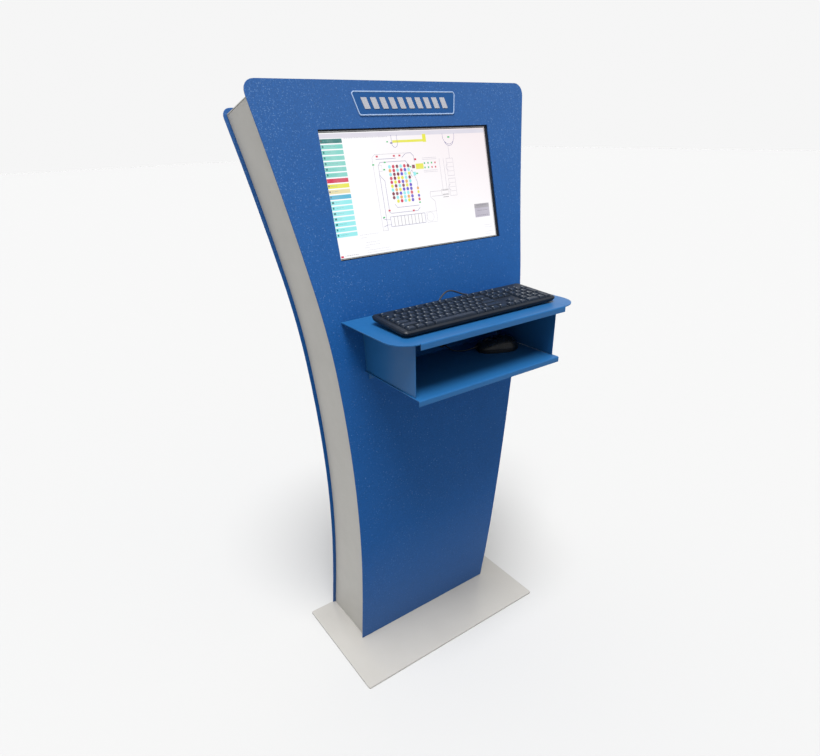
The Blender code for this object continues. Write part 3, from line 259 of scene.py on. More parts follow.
def smooth_powder(name, colour, roughness, gloss=0.5, wear=0.08):
    """Smooth powder coat with orange peel and faint handling marks."""
    n = Nodes(name, colour, roughness)
    n.paint(n.mix(n.remap(n.noise(0.12, 3.0, 0.5), 0.3, 0.7, 0.0, 1.0), n.scaled(0.975), n.scaled(1.02)))
    n.rough(n.remap(n.noise(0.035, 4.0, 0.7), 0.3, 0.75, roughness - 0.7 * wear, roughness + wear))
    n.bump(n.noise(0.0042, 2.0, 0.5), 0.00009, 0.55)
    n.bump(n.noise(0.0007, 1.0), 0.00002, 0.4)
    n.shader.inputs["Specular IOR Level"].default_value = gloss
    return n.material


def moulded_plastic(name, colour, roughness, grain=0.0006, gloss=0.5):
    n = Nodes(name, colour, roughness)
    n.shader.inputs["Specular IOR Level"].default_value = gloss
    n.paint(n.mix(n.remap(n.noise(0.02, 3.0), 0.3, 0.7, 0.0, 1.0), n.scaled(0.85), n.scaled(1.2)))
    n.rough(n.remap(n.noise(0.006, 3.0), 0.3, 0.7, roughness - 0.05, roughness + 0.07))
    n.bump(n.noise(grain, 2.0), 0.00004, 0.6)
    return n.material


def drawn_metal(name, colour, roughness):
    n = Nodes(name, colour, roughness, 1.0)
    streaks = n.noise(0.001, 3.0, 0.6, n.stretched((1.0, 0.06, 1.0)))
    n.paint(n.mix(n.remap(n.noise(0.006, 3.0), 0.3, 0.7, 0.0, 1.0), n.scaled(0.86), n.scaled(1.08)))
    n.rough(n.remap(streaks, 0.3, 0.7, roughness - 0.08, roughness + 0.12))
    n.bump(streaks, 0.00002, 0.5)
    return n.material


def soft_rubber(name, colour):
    n = Nodes(name, colour, 0.62)
    n.rough(n.remap(n.noise(0.004, 3.0), 0.3, 0.7, 0.54, 0.74))
    n.paint(n.mix(n.noise(0.01, 3.0), n.scaled(0.8), n.scaled(1.5)))
    n.bump(n.noise(0.0005, 1.0), 0.00003, 0.5)
    return n.material


def lit_screen(name):
    """White display light that turns a little warmer towards the upper right."""
    n = Nodes(name, (0.02, 0.02, 0.022), 0.18)
    low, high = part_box("display_panel")
    axes = n.axes()
    across = n.remap(axes["X"], low.x, high.x, 0.0, 1.0)
    rise = n.remap(axes["Z"], low.z, high.z, 0.0, 1.0)
    warmth = n.product(n.noise(0.16, 2.0), 0.25, n.product(across, rise))
    glow = n.mix(n.remap(warmth, 0.15, 1.05, 0.0, 1.0), (0.98, 0.985, 1.0), (0.90, 0.80, 0.82))
    n.link(glow, n.shader.inputs["Emission Color"])
    n.shader.inputs["Emission Strength"].default_value = 1.0
    return n.material


def screen_ink(name):
    """Light of the drawing on the screen, from each stroke's own colour."""
    n = Nodes(name, (0.01, 0.01, 0.01), 0.25)
    ink = n.tree.nodes.new("ShaderNodeVertexColor")
    ink.layer_name = "ink"
    paleness = n.remap(n.noise(0.03, 2.0), 0.3, 0.7, 0.0, 0.12)
    glow = n.mix(paleness, ink.outputs["Color"], (1.0, 1.0, 1.0))
    n.link(glow, n.shader.inputs["Emission Color"])
    n.shader.inputs["Emission Strength"].default_value = 0.95
    return n.material


BLUE = textured_powder("front_blue", (0.0090, 0.068, 0.228), 0.40, 0.05)
SHELF_BLUE = smooth_powder("shelf_blue", (0.0125, 0.082, 0.218), 0.34, 0.16)
CORE_GREY = smooth_powder("core_grey", (0.360, 0.351, 0.328), 0.44, 0.35)
BASE_GREY = smooth_powder("base_grey", (0.300, 0.291, 0.275), 0.20, 0.6, 0.03)
BLACK = moulded_plastic("case_black", (0.006, 0.009, 0.015), 0.40, 0.0006, 0.25)
KEY_BLACK = moulded_plastic("key_black", (0.007, 0.012, 0.022), 0.36, 0.0004, 0.22)
KEY_PRINT = moulded_plastic("key_print", (0.30, 0.32, 0.34), 0.50, 0.0004)
MOUSE_BLACK = moulded_plastic("mouse_black", (0.006, 0.009, 0.013), 0.30, 0.0005, 0.35)
PALE_PLASTIC = moulded_plastic("pale_plastic", (0.62, 0.61, 0.58), 0.40)
STEEL = drawn_metal("bright_steel", (0.56, 0.57, 0.59), 0.30)
ZINC = drawn_metal("zinc_plate", (0.46, 0.47, 0.48), 0.42)
SILVER = smooth_powder("badge_silver", (0.33, 0.335, 0.37), 0.30)
BADGE_RIM = smooth_powder("badge_rim", (0.260, 0.360, 0.540), 0.30)
BADGE_FIELD = smooth_powder("badge_field", (0.015, 0.068, 0.205), 0.34, 0.10)
RUBBER = soft_rubber("soft_black", (0.013, 0.013, 0.014))
SCREEN = lit_screen("screen_light")
INK = screen_ink("screen_ink")


# ---------------------------------------------------------------- mesh helpers
def add_loft(bm, sections):
    """A closed skin over rings of points that all have the same count."""
    rings = [[bm.verts.new(point) for point in section] for section in sections]
    for low, high in zip(rings[:-1], rings[1:]):
        for index in range(len(low)):
            following = (index + 1) % len(low)
            bm.faces.new((low[index], low[following], high[following], high[index]))
    bm.faces.new(rings[0][::-1])
    bm.faces.new(rings[-1])
    return rings


def add_prism(bm, outline, low, high):
    add_loft(bm, [[Vector((x, y, z)) for x, y in outline] for z in (low, high)])


def add_box(bm, low, high):
    (left, front, bottom), (right, back, top) = low, high
    add_prism(bm, ((left, front), (right, front), (right, back), (left, back)), bottom, top)


def circle(radius, sides, centre=(0.0, 0.0)):
    turns = [2 * math.pi * (index + 0.5) / sides for index in range(sides)]
    return [(centre[0] + radius * math.cos(a), centre[1] + radius * math.sin(a)) for a in turns]


def rounded(corners, radius, steps=5):
    """A polygon with its corners rounded by arcs."""
    points = []
    count = len(corners)
    for index, corner in enumerate(corners):
        here = Vector(corner)
        before = (Vector(corners[index - 1]) - here).normalized()
        after = (Vector(corners[(index + 1) % count]) - here).normalized()
        half = before.angle(after) / 2
        reach = radius / math.tan(half)
        start, end = here + before * reach, here + after * reach
        middle = here + (before + after).normalized() * (radius / math.sin(half))
        for step in range(steps + 1):
            arm = (start - middle).lerp(end - middle, step / steps)
            points.append(middle + arm.normalized() * radius)
    return points


def rectangle(width, height, centre=(0.0, 0.0)):
    x, y = centre
    return ((x - width / 2, y - height / 2), (x + width / 2, y - height / 2),
            (x + width / 2, y + height / 2), (x - width / 2, y + height / 2))


def add_piece(name, bm, material, body, matrix=Matrix.Identity(4), smooth=35, bevel=0.0,
              segments=3):
    """A finished piece. smooth is the angle in degrees above which an edge stays sharp."""
    bmesh.ops.recalc_face_normals(bm, faces=bm.faces)
    mesh = bpy.data.meshes.new(name)
    bm.to_mesh(mesh)
    bm.free()
    mesh.transform(matrix)
    mesh.materials.append(material)
    mesh.shade_smooth()
    mesh.set_sharp_from_angle(angle=math.radians(smooth))
    piece = bpy.data.objects.new(name, mesh)
    bpy.context.scene.collection.objects.link(piece)
    if bevel:
        edges = piece.modifiers.new("edges", "BEVEL")
        edges.width = bevel
        edges.segments = segments
        edges.limit_method = "ANGLE"
        edges.angle_limit = math.radians(30)
        edges.harden_normals = True
    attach(piece, body)
    return piece


def finish_node(node, material, body, bevel, smooth=30, segments=2):
    """A piece with the node's own faces, joined up and with softened edges."""
    source = frame["nodes"][node].data
    bm = bmesh.new()
    for face in source.polygons:
        corners = [bm.verts.new(source.vertices[index].co) for index in face.vertices]
        bm.faces.new(corners)
    bmesh.ops.remove_doubles(bm, verts=bm.verts, dist=0.000002)
    bmesh.ops.dissolve_limit(bm, angle_limit=math.radians(0.4), verts=bm.verts, edges=bm.edges)
    piece = add_piece(f"{node}_finish", bm, material, body, smooth=smooth, bevel=bevel,
                      segments=segments)
    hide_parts(node)
    return piece


def frame_from(x_axis, y_axis, origin):
    columns = Matrix((x_axis, y_axis, x_axis.cross(y_axis))).transposed()
    return Matrix.Translation(origin) @ columns.to_4x4()


def middle_of(node):
    low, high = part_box(node)
    return (low + high) / 2


def head_frame(origin, right=1):
    """X right, Y up the head's slope, Z out of its front. With right -1 it's seen from behind."""
    up = Vector((0, math.sin(HEAD_LEAN), math.cos(HEAD_LEAN)))
    return frame_from(Vector((right, 0, 0)), up, origin)


# ---------------------------------------------------------------- cords
def smooth_route(points, samples):
    """Points of a Catmull-Rom curve through the route, spread evenly between its own points."""
    route = [Vector(point) for point in points]
    route = [route[0] * 2 - route[1]] + route + [route[-1] * 2 - route[-2]]
    spans = len(points) - 1
    result = []
    for sample in range(samples):
        position = spans * sample / (samples - 1)
        span = min(int(position), spans - 1)
        t = position - span
        a, b, c, d = route[span:span + 4]
        result.append(0.5 * (2 * b + (c - a) * t + (2 * a - 5 * b + 4 * c - d) * t ** 2
                             + (3 * b - a - 3 * c + d) * t ** 3))
    return result


def make_cord(device, points, diameter):
    """A lead with its strain relief, from the device to a port inside the cabinet."""
    curve = bpy.data.curves.new(f"{device}_lead", "CURVE")
    curve.dimensions = "3D"
    curve.bevel_depth = diameter / 2
    curve.bevel_resolution = 5
    curve.use_fill_caps = True
    curve.materials.append(RUBBER)
    route = smooth_route(points, CORD_SAMPLES)
    spline = curve.splines.new("POLY")
    spline.points.add(len(route) - 1)
    for point, place in zip(spline.points, route):
        point.co = (*place, 1.0)
    spline.use_smooth = True
    piece = bpy.data.objects.new(f"{device}_lead", curve)
    bpy.context.scene.collection.objects.link(piece)
    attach(piece, CABINET)
    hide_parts(f"{device}_cord")
    relief = finish_node(f"{device}_strain_relief", RUBBER, CABINET, 0.0003, 50)


# ---------------------------------------------------------------- cabinet
def cabinet():
    finish_node("base_plate", BASE_GREY, CABINET, 0.0, 40)
    finish_node("foot_frame", ZINC, CABINET, 0.0006)
    for node in ("front_panel", "rear_panel"):
        finish_node(node, BLUE, CABINET, 0.0006)
    for node, fold in (("side_panel_left", 0.0018), ("side_panel_right", 0.0018), ("top_cap", 0.0005)):
        finish_node(node, CORE_GREY, CABINET, fold, segments=3)
    for node in ("cross_member", "display_rail_lower", "display_rail_upper"):
        finish_node(node, ZINC, CABINET, 0.0005)


def shelf():
    for node in ("shelf_top", "shelf_floor", "shelf_cheek_left", "shelf_cheek_right"):
        finish_node(node, SHELF_BLUE, CABINET, 0.0009, segments=3)
    for index in range(1, 5):
        finish_node(f"shelf_bolt_{index}", STEEL, CABINET, 0.0003)
    for node in ("shelf_grommet", "keyboard_grommet", "mouse_grommet"):
        finish_node(node, RUBBER, CABINET, 0.0003, 50)


def badge_outline(width, height, inset, radius):
    """The badge's slanted outline, set in from its edge."""
    lean_left, lean_right = BADGE_SLANTS
    left, right = inset * lean_left / height, inset * lean_right / height
    x, y = width / 2 - inset, height / 2 - inset
    corners = ((x - right, y), (left - x, y), (lean_left - left - x, -y), (x - lean_right + right, -y))
    return rounded(corners, radius)


def badge():
    """Raised silver rim and a row of slanted silver bars on a blue field."""
    low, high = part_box("badge_plate")
    place = head_frame(middle_of("badge_plate"))
    width, height = high.x - low.x, (high.z - low.z) / math.cos(HEAD_LEAN)
    back = -0.0010
    face = back + 0.0019
    floor = back + 0.0011

    bm = bmesh.new()
    outer = badge_outline(width, height, 0.0, 0.0065)
    soft = badge_outline(width, height, 0.0005, 0.0060)
    crest = badge_outline(width, height, BADGE_EDGE - 0.0004, 0.0042)
    inner = badge_outline(width, height, BADGE_EDGE, 0.0038)
    stack = ((outer, back), (outer, face - 0.0005), (soft, face), (crest, face),
             (inner, face - 0.0004), (inner, floor))
    add_loft(bm, [[Vector((*point, z)) for point in ring] for ring, z in stack])
    plate = add_piece("badge_rim", bm, BADGE_RIM, CABINET, place, 30)
    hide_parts("badge_plate")

    bm = bmesh.new()
    add_prism(bm, badge_outline(width, height, BADGE_EDGE + 0.0002, 0.0036), floor, floor + 0.0002)
    add_piece("badge_field", bm, BADGE_FIELD, CABINET, place)

    bm = bmesh.new()
    bar, tall, lean, gap = 0.0150, 0.0238, 0.0080, 0.0093
    x = -width / 2 + 0.031
    while x + bar < width / 2 - 0.018:
        corners = ((x, -tall / 2), (x + bar, -tall / 2), (x + bar - lean, tall / 2), (x - lean, tall / 2))
        add_prism(bm, rounded(corners, 0.0012, 3), floor + 0.0001, floor + 0.0011)
        x += bar + gap
    add_piece("badge_bars", bm, SILVER, CABINET, place, 30, bevel=0.0003, segments=2)


# ---------------------------------------------------------------- display
INKS = {
    "title": (0.76, 0.73, 0.82), "head": (0.02, 0.20, 0.19), "teal": (0.22, 0.68, 0.60),
    "red": (0.70, 0.03, 0.09), "yellow": (0.85, 0.83, 0.05), "beige": (0.86, 0.76, 0.42),
    "blue_head": (0.05, 0.47, 0.70), "cyan": (0.30, 0.88, 0.90), "navy": (0.10, 0.08, 0.32),
    "blue": (0.12, 0.07, 0.60), "orange": (0.86, 0.42, 0.12), "maroon": (0.25, 0.03, 0.06),
    "green": (0.03, 0.55, 0.15), "faint": (0.52, 0.49, 0.58), "grey": (0.40, 0.38, 0.42),
    "dark": (0.12, 0.11, 0.14), "black": (0.0, 0.0, 0.0), "mark": (0.20, 0.45, 0.45),
}


class Drawing:
    """Flat coloured strokes on the screen.

    Places are in thousandths of the picture's width, from its top left, before they are stretched
    and moved to fill the picture.
    """
    MARGIN, STRETCH = (6.0, -15.5), (1.017, 1.034)
    LAYER = 0.0000015              # each stroke lies this much above the one before

    def __init__(self, width, height, level):
        self.bm = bmesh.new()
        self.ink = self.bm.loops.layers.float_color.new("ink")
        self.unit = width / 1000
        self.corner = Vector((-width / 2, height / 2))
        self.level = level
        self.count = 0

    def fill(self, points, ink):
        self.count += 1
        z = self.level + self.LAYER * self.count
        verts = []
        for x, y in points:
            across = (x * self.STRETCH[0] + self.MARGIN[0]) * self.unit
            down = (y * self.STRETCH[1] + self.MARGIN[1]) * self.unit
            verts.append(self.bm.verts.new((self.corner.x + across, self.corner.y - down, z)))
        face = self.bm.faces.new(verts)
        face.normal_update()
        if face.normal.z < 0:
            face.normal_flip()
        for loop in face.loops:
            loop[self.ink] = (*INKS[ink], 1.0)

    def block(self, left, top, width, height, ink):
        right, bottom = left + width, top + height
        self.fill(((left, top), (right, top), (right, bottom), (left, bottom)), ink)

    def disc(self, x, y, radius, ink):
        self.fill(circle(radius, 14, (x, y)), ink)

    def line(self, points, ink="navy", weight=1.6):
        for start, end in zip(points[:-1], points[1:]):
            a, b = Vector(start), Vector(end)
            along = (b - a).normalized() * weight / 2
            side = Vector((-along.y, along.x))
            self.fill((a - along - side, b + along - side, b + along + side, a - along + side), ink)

    def border(self, left, top, width, height, ink="navy", weight=1.0):
        right, bottom = left + width, top + height
        self.line(((left, top), (right, top), (right, bottom), (left, bottom), (left, top)), ink, weight)

    def words(self, left, y, width, ink="faint", size=1.6):
        """A row of short strokes that reads as a line of small print."""
        x = left
        while x < left + width:
            length = random.choice((4, 6, 7, 9, 11))
            self.block(x, y - size / 2, min(length, left + width - x), size, ink)
            x += length + 3


def arc(x, y, radius, start, end, steps=10):
    turns = [math.radians(start + (end - start) * step / steps) for step in range(steps + 1)]
    return [(x + radius * math.cos(a), y + radius * math.sin(a)) for a in turns]


def menu(pen):
    """A column of coloured buttons with a small mark and a few words on each."""
    left, width, tall, pitch = 4, 111, 18, 23.5
    y = 44.5
    order = ["head"] + ["teal"] * 6 + ["red", "yellow", "beige", "blue_head"] + ["cyan"] * 7
    for ink in order:
        pen.block(left, y, width, tall, ink)
        if ink in ("teal", "cyan"):
            pen.block(left + 5, y + 3.5, random.choice((8, 10, 12)), 9, "head")
            pen.words(left + 24, y + 8, random.choice((22, 38, 52)), "mark", 2.0)
        elif ink != "red":
            pen.block(left + 2, y + 5, 7, 6, "dark")
            pen.words(left + 14, y + 8, 34, "mark", 2.0)
        y += pitch
    pen.block(7, 543, 14, 9, "red")
    pen.words(30, 545, 72, "grey", 2.4)


def schematic(pen):
    """Piping round a block of coloured dots, with small status blocks."""
    pen.line(((260, 458), (260, 132), (276, 119), (448, 119)), "faint", 1.4)
    pen.line(((288, 458), (288, 168), (300, 154), (448, 154), (458, 168)))
    pen.line(((260, 458), (288, 458)), "faint", 1.4)
    pen.line(((280, 140), (392, 140)))
    pen.line(((430, 138), (455, 120), (484, 119), (500, 134), (500, 160)))
    pen.line(((288, 210), (312, 236), (312, 378), (322, 383), (480, 384), (494, 372)))
    pen.line(((350, 345), (362, 360), (492, 360)))
    pen.line(arc(484, 212, 16, 120, 250) + [(500, 250), (500, 276)])
    colours = ("red", "blue", "yellow", "cyan", "orange", "maroon")
    for column in range(6):
        for row in range(10):
            if (column, row) != (0, 9):
                pen.disc(350 + 21.8 * column, 176 + 17.3 * row, 8.0, random.choice(colours))
    for step, ink in enumerate(("orange", "yellow", "blue", "red")):
        pen.disc(499, 281 + 17 * step, 7.0, ink)
    for x, y in ((288, 128), (385, 129), (417, 129), (507, 150), (312, 370), (454, 382)):
        pen.block(x - 6, y - 4, 12, 8, "red")
    for x, y in ((327, 155), (318, 187), (261, 163), (472, 182), (507, 214), (275, 398), (499, 347)):
        pen.block(x - 5.5, y - 3, 11, 6, "green")
    pen.block(482, 174, 17, 16, "maroon")
    pen.block(484, 206, 16, 17, "cyan")
    pen.block(505, 170, 47, 25, "yellow")
    pen.border(288, 168, 18, 26, "faint")
    for y in (146, 153, 204, 211):
        pen.line(((550, y), (636, y)), "faint", 1.3)
    for row in range(2):
        for column in range(4):
            ink = "red" if column > 2 - row else "green"
            pen.block(556 + 22 * column, 166 + 20 * row, 8, 8, ink)


def machines(pen):
    """The conveyor, ladder and vessels round the main schematic."""
    pen.block(388, 61, 188, 11, "yellow")
    pen.block(568, 38, 21, 36, "yellow")
    pen.line([(384, 38), (384, 76)] + arc(400, 76, 16, 180, 0)[1:] + [(416, 38)])
    pen.block(354, 64, 10, 5, "green")
    pen.block(374, 70, 14, 5, "navy")
    pen.border(311, 399, 208, 45, weight=1.6)
    for rung in range(1, 10):
        x = 311 + 20.8 * rung
        pen.line(((x, 399), (x, 444)), "grey", 2.6)
    pen.border(288, 410, 23, 24)
    pen.line(((268, 402), (288, 410)), "navy", 1.6)
    pen.line(((268, 440), (288, 434)), "navy", 1.6)
    pen.line(arc(552, 420, 22, 0, 360, 18), "faint", 1.2)
    pen.border(530, 396, 64, 50, "faint")
    pen.line(((594, 396), (594, 350), (570, 330), (570, 304), (642, 304)), "faint")
    pen.line(((642, 326), (578, 326)), "faint")
    pen.line([(694, 40), (694, 52)] + arc(731, 52, 37, 180, 0)[1:] + [(768, 40)])
    pen.line(arc(731, 66, 30, 160, 20), "navy", 1.6)
    pen.block(725, 53, 14, 7, "green")
    pen.line(((722, 90), (722, 155)), "faint")
    for top in (155, 250):
        pen.border(698, top, 43, 82, "faint", 1.4)
        for step in range(1, 4):
            pen.line(((702, top + 20 * step), (737, top + 20 * step)), "faint", 1.2)
        pen.line(arc(706, top + 41, 14, 90, 270), "faint")
    for x in (654, 680):
        pen.line(((x, 154), (x, 300)), "faint")
    pen.border(643, 299, 46, 27, "grey", 1.4)
    for y in (303, 322, 335):
        pen.line(((650, y), (684, y)), "dark", 2.0)
    pen.block(847, 386, 102, 67, "faint")
    pen.block(847, 386, 102, 21, "grey")
    for y in (394, 420, 444):
        pen.words(862, y, 74, "dark", 1.4)


def small_print(pen):
    pen.words(126, 44, 235, "faint", 1.8)
    pen.words(440, 18.5, 56, "grey", 1.8)
    for left, y, width in ((126, 463, 105), (130, 476, 32), (150, 499, 80), (150, 511, 80), (140, 522, 32),
                           (154, 534, 128), (154, 545, 128), (902, 496, 56), (902, 507, 56),
                           (902, 530, 56), (902, 542, 56)):
        pen.words(left, y, width, "faint", 1.3)


def display():
    finish_node("display_bezel", BLACK, CABINET, 0.0008)
    finish_node("display_back_cover", BLACK, CABINET, 0.0015)
    finish_node("display_panel", SCREEN, CABINET, 0.0004)
    pen = Drawing(*PICTURE, PANEL_THICK / 2 + 0.00008)
    pen.block(-5, 23, 981, 19, "title")
    for edge in ((-5.5, 15.3, 982, 4), (-5.5, 555, 982, 3), (-5.5, 15.3, 2, 542), (974.5, 15.3, 2, 542)):
        pen.block(*edge, "black")
    menu(pen)
    schematic(pen)
    machines(pen)
    small_print(pen)
    mesh = bpy.data.meshes.new("screen_picture")
    pen.bm.to_mesh(mesh)
    pen.bm.free()
    mesh.transform(head_frame(middle_of("display_panel")))
    mesh.materials.append(INK)
    picture = bpy.data.objects.new("screen_picture", mesh)
    bpy.context.scene.collection.objects.link(picture)
    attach(picture, CABINET)


# ---------------------------------------------------------------- service door and electronics
HINGE_X, HINGE_SCREW = -0.2090, 0.0125   # the hinge's axis, and its screws from there
LEAF_TOP = 0.0027                        # above the middle of the door's sheet
REAR_SCREWS = ((0.225, 0.10), (0.231, 0.40), (0.251, 0.75), (0.285, 1.05), (0.333, 1.36))


def surface_frame(node, x, z):
    """Where a line from behind meets a node: X to the viewer's right, Z out of the surface."""
    source = frame["nodes"][node].data
    places = [vert.co for vert in source.vertices]
    tree = BVHTree.FromPolygons(places, [face.vertices for face in source.polygons])
    place, normal, _, _ = tree.ray_cast(Vector((x, 1.0, z)), Vector((0, -1, 0)))
    right = Vector((-1, 0, 0))
    return frame_from(right, normal.cross(right), place)


def add_screw(bm, x, y, level, radius, height):
    """A round screw head with a recess."""
    profile = ((1.0, -0.3), (1.0, 0.35), (0.86, 0.85), (0.70, 1.0), (0.42, 1.0), (0.38, 0.2))
    rings = []
    for spread, rise in profile:
        rim = circle(radius * spread, 18, (x, y))
        rings.append([Vector((*point, level + height * rise)) for point in rim])
    add_loft(bm, rings)


def hinge_screws():
    door = head_frame(middle_of("service_door"), -1)
    for name, body, x in (("hinge_door_screws", DOOR, HINGE_X + HINGE_SCREW),
                          ("hinge_frame_screws", CABINET, HINGE_X - HINGE_SCREW)):
        bm = bmesh.new()
        for y in (-0.105, -0.035, 0.035, 0.105):
            add_screw(bm, x, y, LEAF_TOP, 0.0030, 0.0010)
        add_piece(name, bm, STEEL, body, door, 40)


def rear_screws():
    for index, (reach, z) in enumerate(REAR_SCREWS):
        for side, hand in ((-1, "right"), (1, "left")):
            bm = bmesh.new()
            add_screw(bm, 0.0, 0.0, 0.0, 0.0042, 0.0018)
            place = surface_frame("rear_panel", side * reach, z)
            add_piece(f"rear_screw_{hand}_{index + 1}", bm, STEEL, CABINET, place, 40)


def inlet_pins():
    """Three blades in the inlet's hollow."""
    place = surface_frame("rear_panel", 0.040, middle_of("mains_inlet").z)
    place.translation.x = 0.0
    bm = bmesh.new()
    for x, y in ((-0.0068, -0.0030), (0.0068, -0.0030), (0.0, 0.0028)):
        add_box(bm, (x - 0.0009, y - 0.0022, -0.0166), (x + 0.0009, y + 0.0022, -0.0040))
    add_piece("inlet_pins", bm, STEEL, CABINET, place, bevel=0.0003)


def painted_socket_hole_shade():
    """Two black discs at the bottom of each socket of the power strip: painted shade where its pin holes
    open.
    """
    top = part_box("power_strip")[1].z
    depth = middle_of("power_strip").y
    bm = bmesh.new()
    for index in range(4):
        middle = -0.105 + 0.062 * index
        for side in (-1, 1):
            # Painted shade: a black disc where a pin hole opens.
            hole_shade = circle(0.0024, 14, (middle + side * 0.0095, depth))
            add_prism(bm, hole_shade, top - 0.0101, top - 0.0096)
    add_piece("painted_socket_hole_shade", bm, BLACK, CABINET)


def computer_panel():
    """Ports and ventilation slots on the computer's case."""
    low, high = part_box("computer_case")
    corner = Vector((high.x, (low.y + high.y) / 2, low.z))
    side = frame_from(Vector((0, 1, 0)), Vector((0, 0, 1)), corner)
    bm = bmesh.new()
    for y in (0.0350, 0.0440, 0.0700, 0.0820, 0.1180):
        add_prism(bm, rounded(rectangle(0.0150, 0.0060, (0.0, y)), 0.0008, 3), -0.0002, 0.0004)
    add_piece("computer_ports", bm, STEEL, CABINET, side, bevel=0.0002)
    bm = bmesh.new()
    # Painted shade: matte black strips on the case's top where its ventilation slots open.
    for slot in range(12):
        x = low.x + 0.030 + slot * 0.0110
        add_box(bm, (x, low.y + 0.010, high.z - 0.0002), (x + 0.0045, high.y - 0.010, high.z + 0.0003))
    add_piece("computer_vent_painted_shade", bm, RUBBER, CABINET)


def lock_slot():
    """The key slot in the lock's plug, drawn as a thin black box of painted shade."""
    middle = middle_of("lock_plug")
    place = surface_frame("lock_plug", middle.x, middle.z)
    bm = bmesh.new()
    # Painted shade: a black box where the keyway opens into the plug.
    add_box(bm, (-0.0006, -0.0033, -0.0004), (0.0006, 0.0033, 0.0002))
    add_piece("lock_slot_painted_shade", bm, BLACK, "lock", place)


def service_door():
    finish_node("service_door", BLUE, DOOR, 0.0006)
    finish_node("hinge_door_leaf", STEEL, DOOR, 0.0002, 50)
    finish_node("hinge_frame_leaf", STEEL, CABINET, 0.0002, 50)
    finish_node("hinge_pin", STEEL, CABINET, 0.0003)
    finish_node("lock_barrel", STEEL, DOOR, 0.0002)
    finish_node("lock_plug", STEEL, "lock", 0.0002)
    finish_node("lock_cam", ZINC, "lock", 0.0004)
    finish_node("fan_frame", BLACK, DOOR, 0.0003)
    finish_node("fan_rotor", BLACK, "fan_rotor", 0.0004)


def electronics():
    finish_node("computer_case", BLACK, CABINET, 0.0)
    finish_node("power_strip", PALE_PLASTIC, CABINET, 0.0015)
    finish_node("mains_inlet", BLACK, CABINET, 0.0004)


# ---------------------------------------------------------------- keyboard
# Widths of the keys in units of the key pitch, by block: main, navigation, number pad.
# A negative width is a space with no key, or a key that moves on its own.
ROWS = {
    "function_keys": ((1, -1, 1, 1, 1, 1, -0.5, 1, 1, 1, 1, -0.5, 1, 1, 1, 1), (1, 1, 1), ()),
    "number_keys": ((1,) * 13 + (2,), (1, 1, 1), (1, 1, 1, 1)),
    "upper_letter_keys": ((1.5,) + (1,) * 12 + (1.5,), (1, 1, 1), (1, 1, 1)),
    "home_letter_keys": ((1.75,) + (1,) * 11, (), (1, 1, 1)),
    "lower_letter_keys": ((2.25,) + (1,) * 10 + (2.75,), (-1, 1), (1, 1, 1)),
    "modifier_keys": ((1.25,) * 3 + (-6.25,) + (1.25,) * 4, (1, 1, 1), (2, 1)),
}
TALL_KEY = 0.0350


def block_starts():
    """Left edges of the three blocks of keys, from the keyboard's middle."""
    total = (MAIN_UNITS + NAV_UNITS + PAD_UNITS) * KEY_PITCH + 2 * BLOCK_GAP
    main = -total / 2
    nav = main + MAIN_UNITS * KEY_PITCH + BLOCK_GAP
    return main, nav, nav + NAV_UNITS * KEY_PITCH + BLOCK_GAP


def row_cells(widths):
    """Left and right limits of every key in a row."""
    cells = []
    for start, block in zip(block_starts(), widths):
        x = start
        for width in block:
            span = abs(width) * KEY_PITCH
            if width > 0:
                cells.append((x + KEY_GAP / 2, x + span - KEY_GAP / 2))
            x += span
    return cells


def press_frame(joint):
    """The frame at a key joint: X along the row, Z out of the key tops."""
    up = -Vector(JOINTS[joint]["axis"])
    return frame_from(Vector((1, 0, 0)), up.cross(Vector((1, 0, 0))), Vector(JOINTS[joint]["pos_m"]))


def add_cap(bm, x_low, x_high, depth, foot):
    """A key cap with rounded corners and a shallow dish. Heights are from the key plate's top."""
    centre, width = (x_low + x_high) / 2, x_high - x_low
    top = CAP_TALL
    profile = ((foot, 0.0, 0.0006), (0.0008, 0.0003, 0.0008), (top - 0.0012, 0.0016, 0.0014),
               (top - 0.0004, 0.0020, 0.0018), (top, 0.0026, 0.0022), (top - 0.0001, 0.0040, 0.0018))
    rings = []
    for z, inset, radius in profile:
        back_set = 0.0004 if z > 0.001 else 0.0
        dish = 0.0006 if z > top - 0.0003 else 0.0
        outline = rectangle(width - 2 * inset, depth - 2 * inset, (centre, back_set))
        ring = []
        for x, y in rounded(outline, radius, 3):
            reach = 2 * abs(x - centre) / width
            ring.append(Vector((x, y, z - dish * (1 - reach ** 2))))
        rings.append(ring)
    add_loft(bm, rings)


def add_mark(bm, x_low, x_high):
    """A small plain printed bar near a key's upper left corner."""
    width = min(0.0030, (x_high - x_low) * 0.24)
    mark = rectangle(width, 0.0014, (x_low + 0.0042 + width / 2, 0.0026))
    add_prism(bm, mark, CAP_TALL - 0.0004, CAP_TALL + 0.00005)


def add_ridges(bm):
    """The small ridges that the fingers find on two letters and one number."""
    main, _, pad = block_starts()
    for x in (main + 5.25 * KEY_PITCH, main + 8.25 * KEY_PITCH, pad + 1.5 * KEY_PITCH):
        add_prism(bm, rectangle(0.0036, 0.0008, (x, -0.0038)), CAP_TALL - 0.0009, CAP_TALL - 0.0001)


def key_rows():
    for name, widths in ROWS.items():
        place = press_frame(f"{name}_press")
        bm = bmesh.new()
        marks = bmesh.new()
        for x_low, x_high in row_cells(widths):
            add_cap(bm, x_low, x_high, KEY_DEPTH, -0.0040)
            add_mark(marks, x_low, x_high)
        add_piece(f"{name}_marks", marks, KEY_PRINT, name, place)
        if name == "home_letter_keys":
            add_ridges(bm)
        caps = add_piece(f"{name}_caps", bm, KEY_BLACK, name, place, 50)
        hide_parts(name)


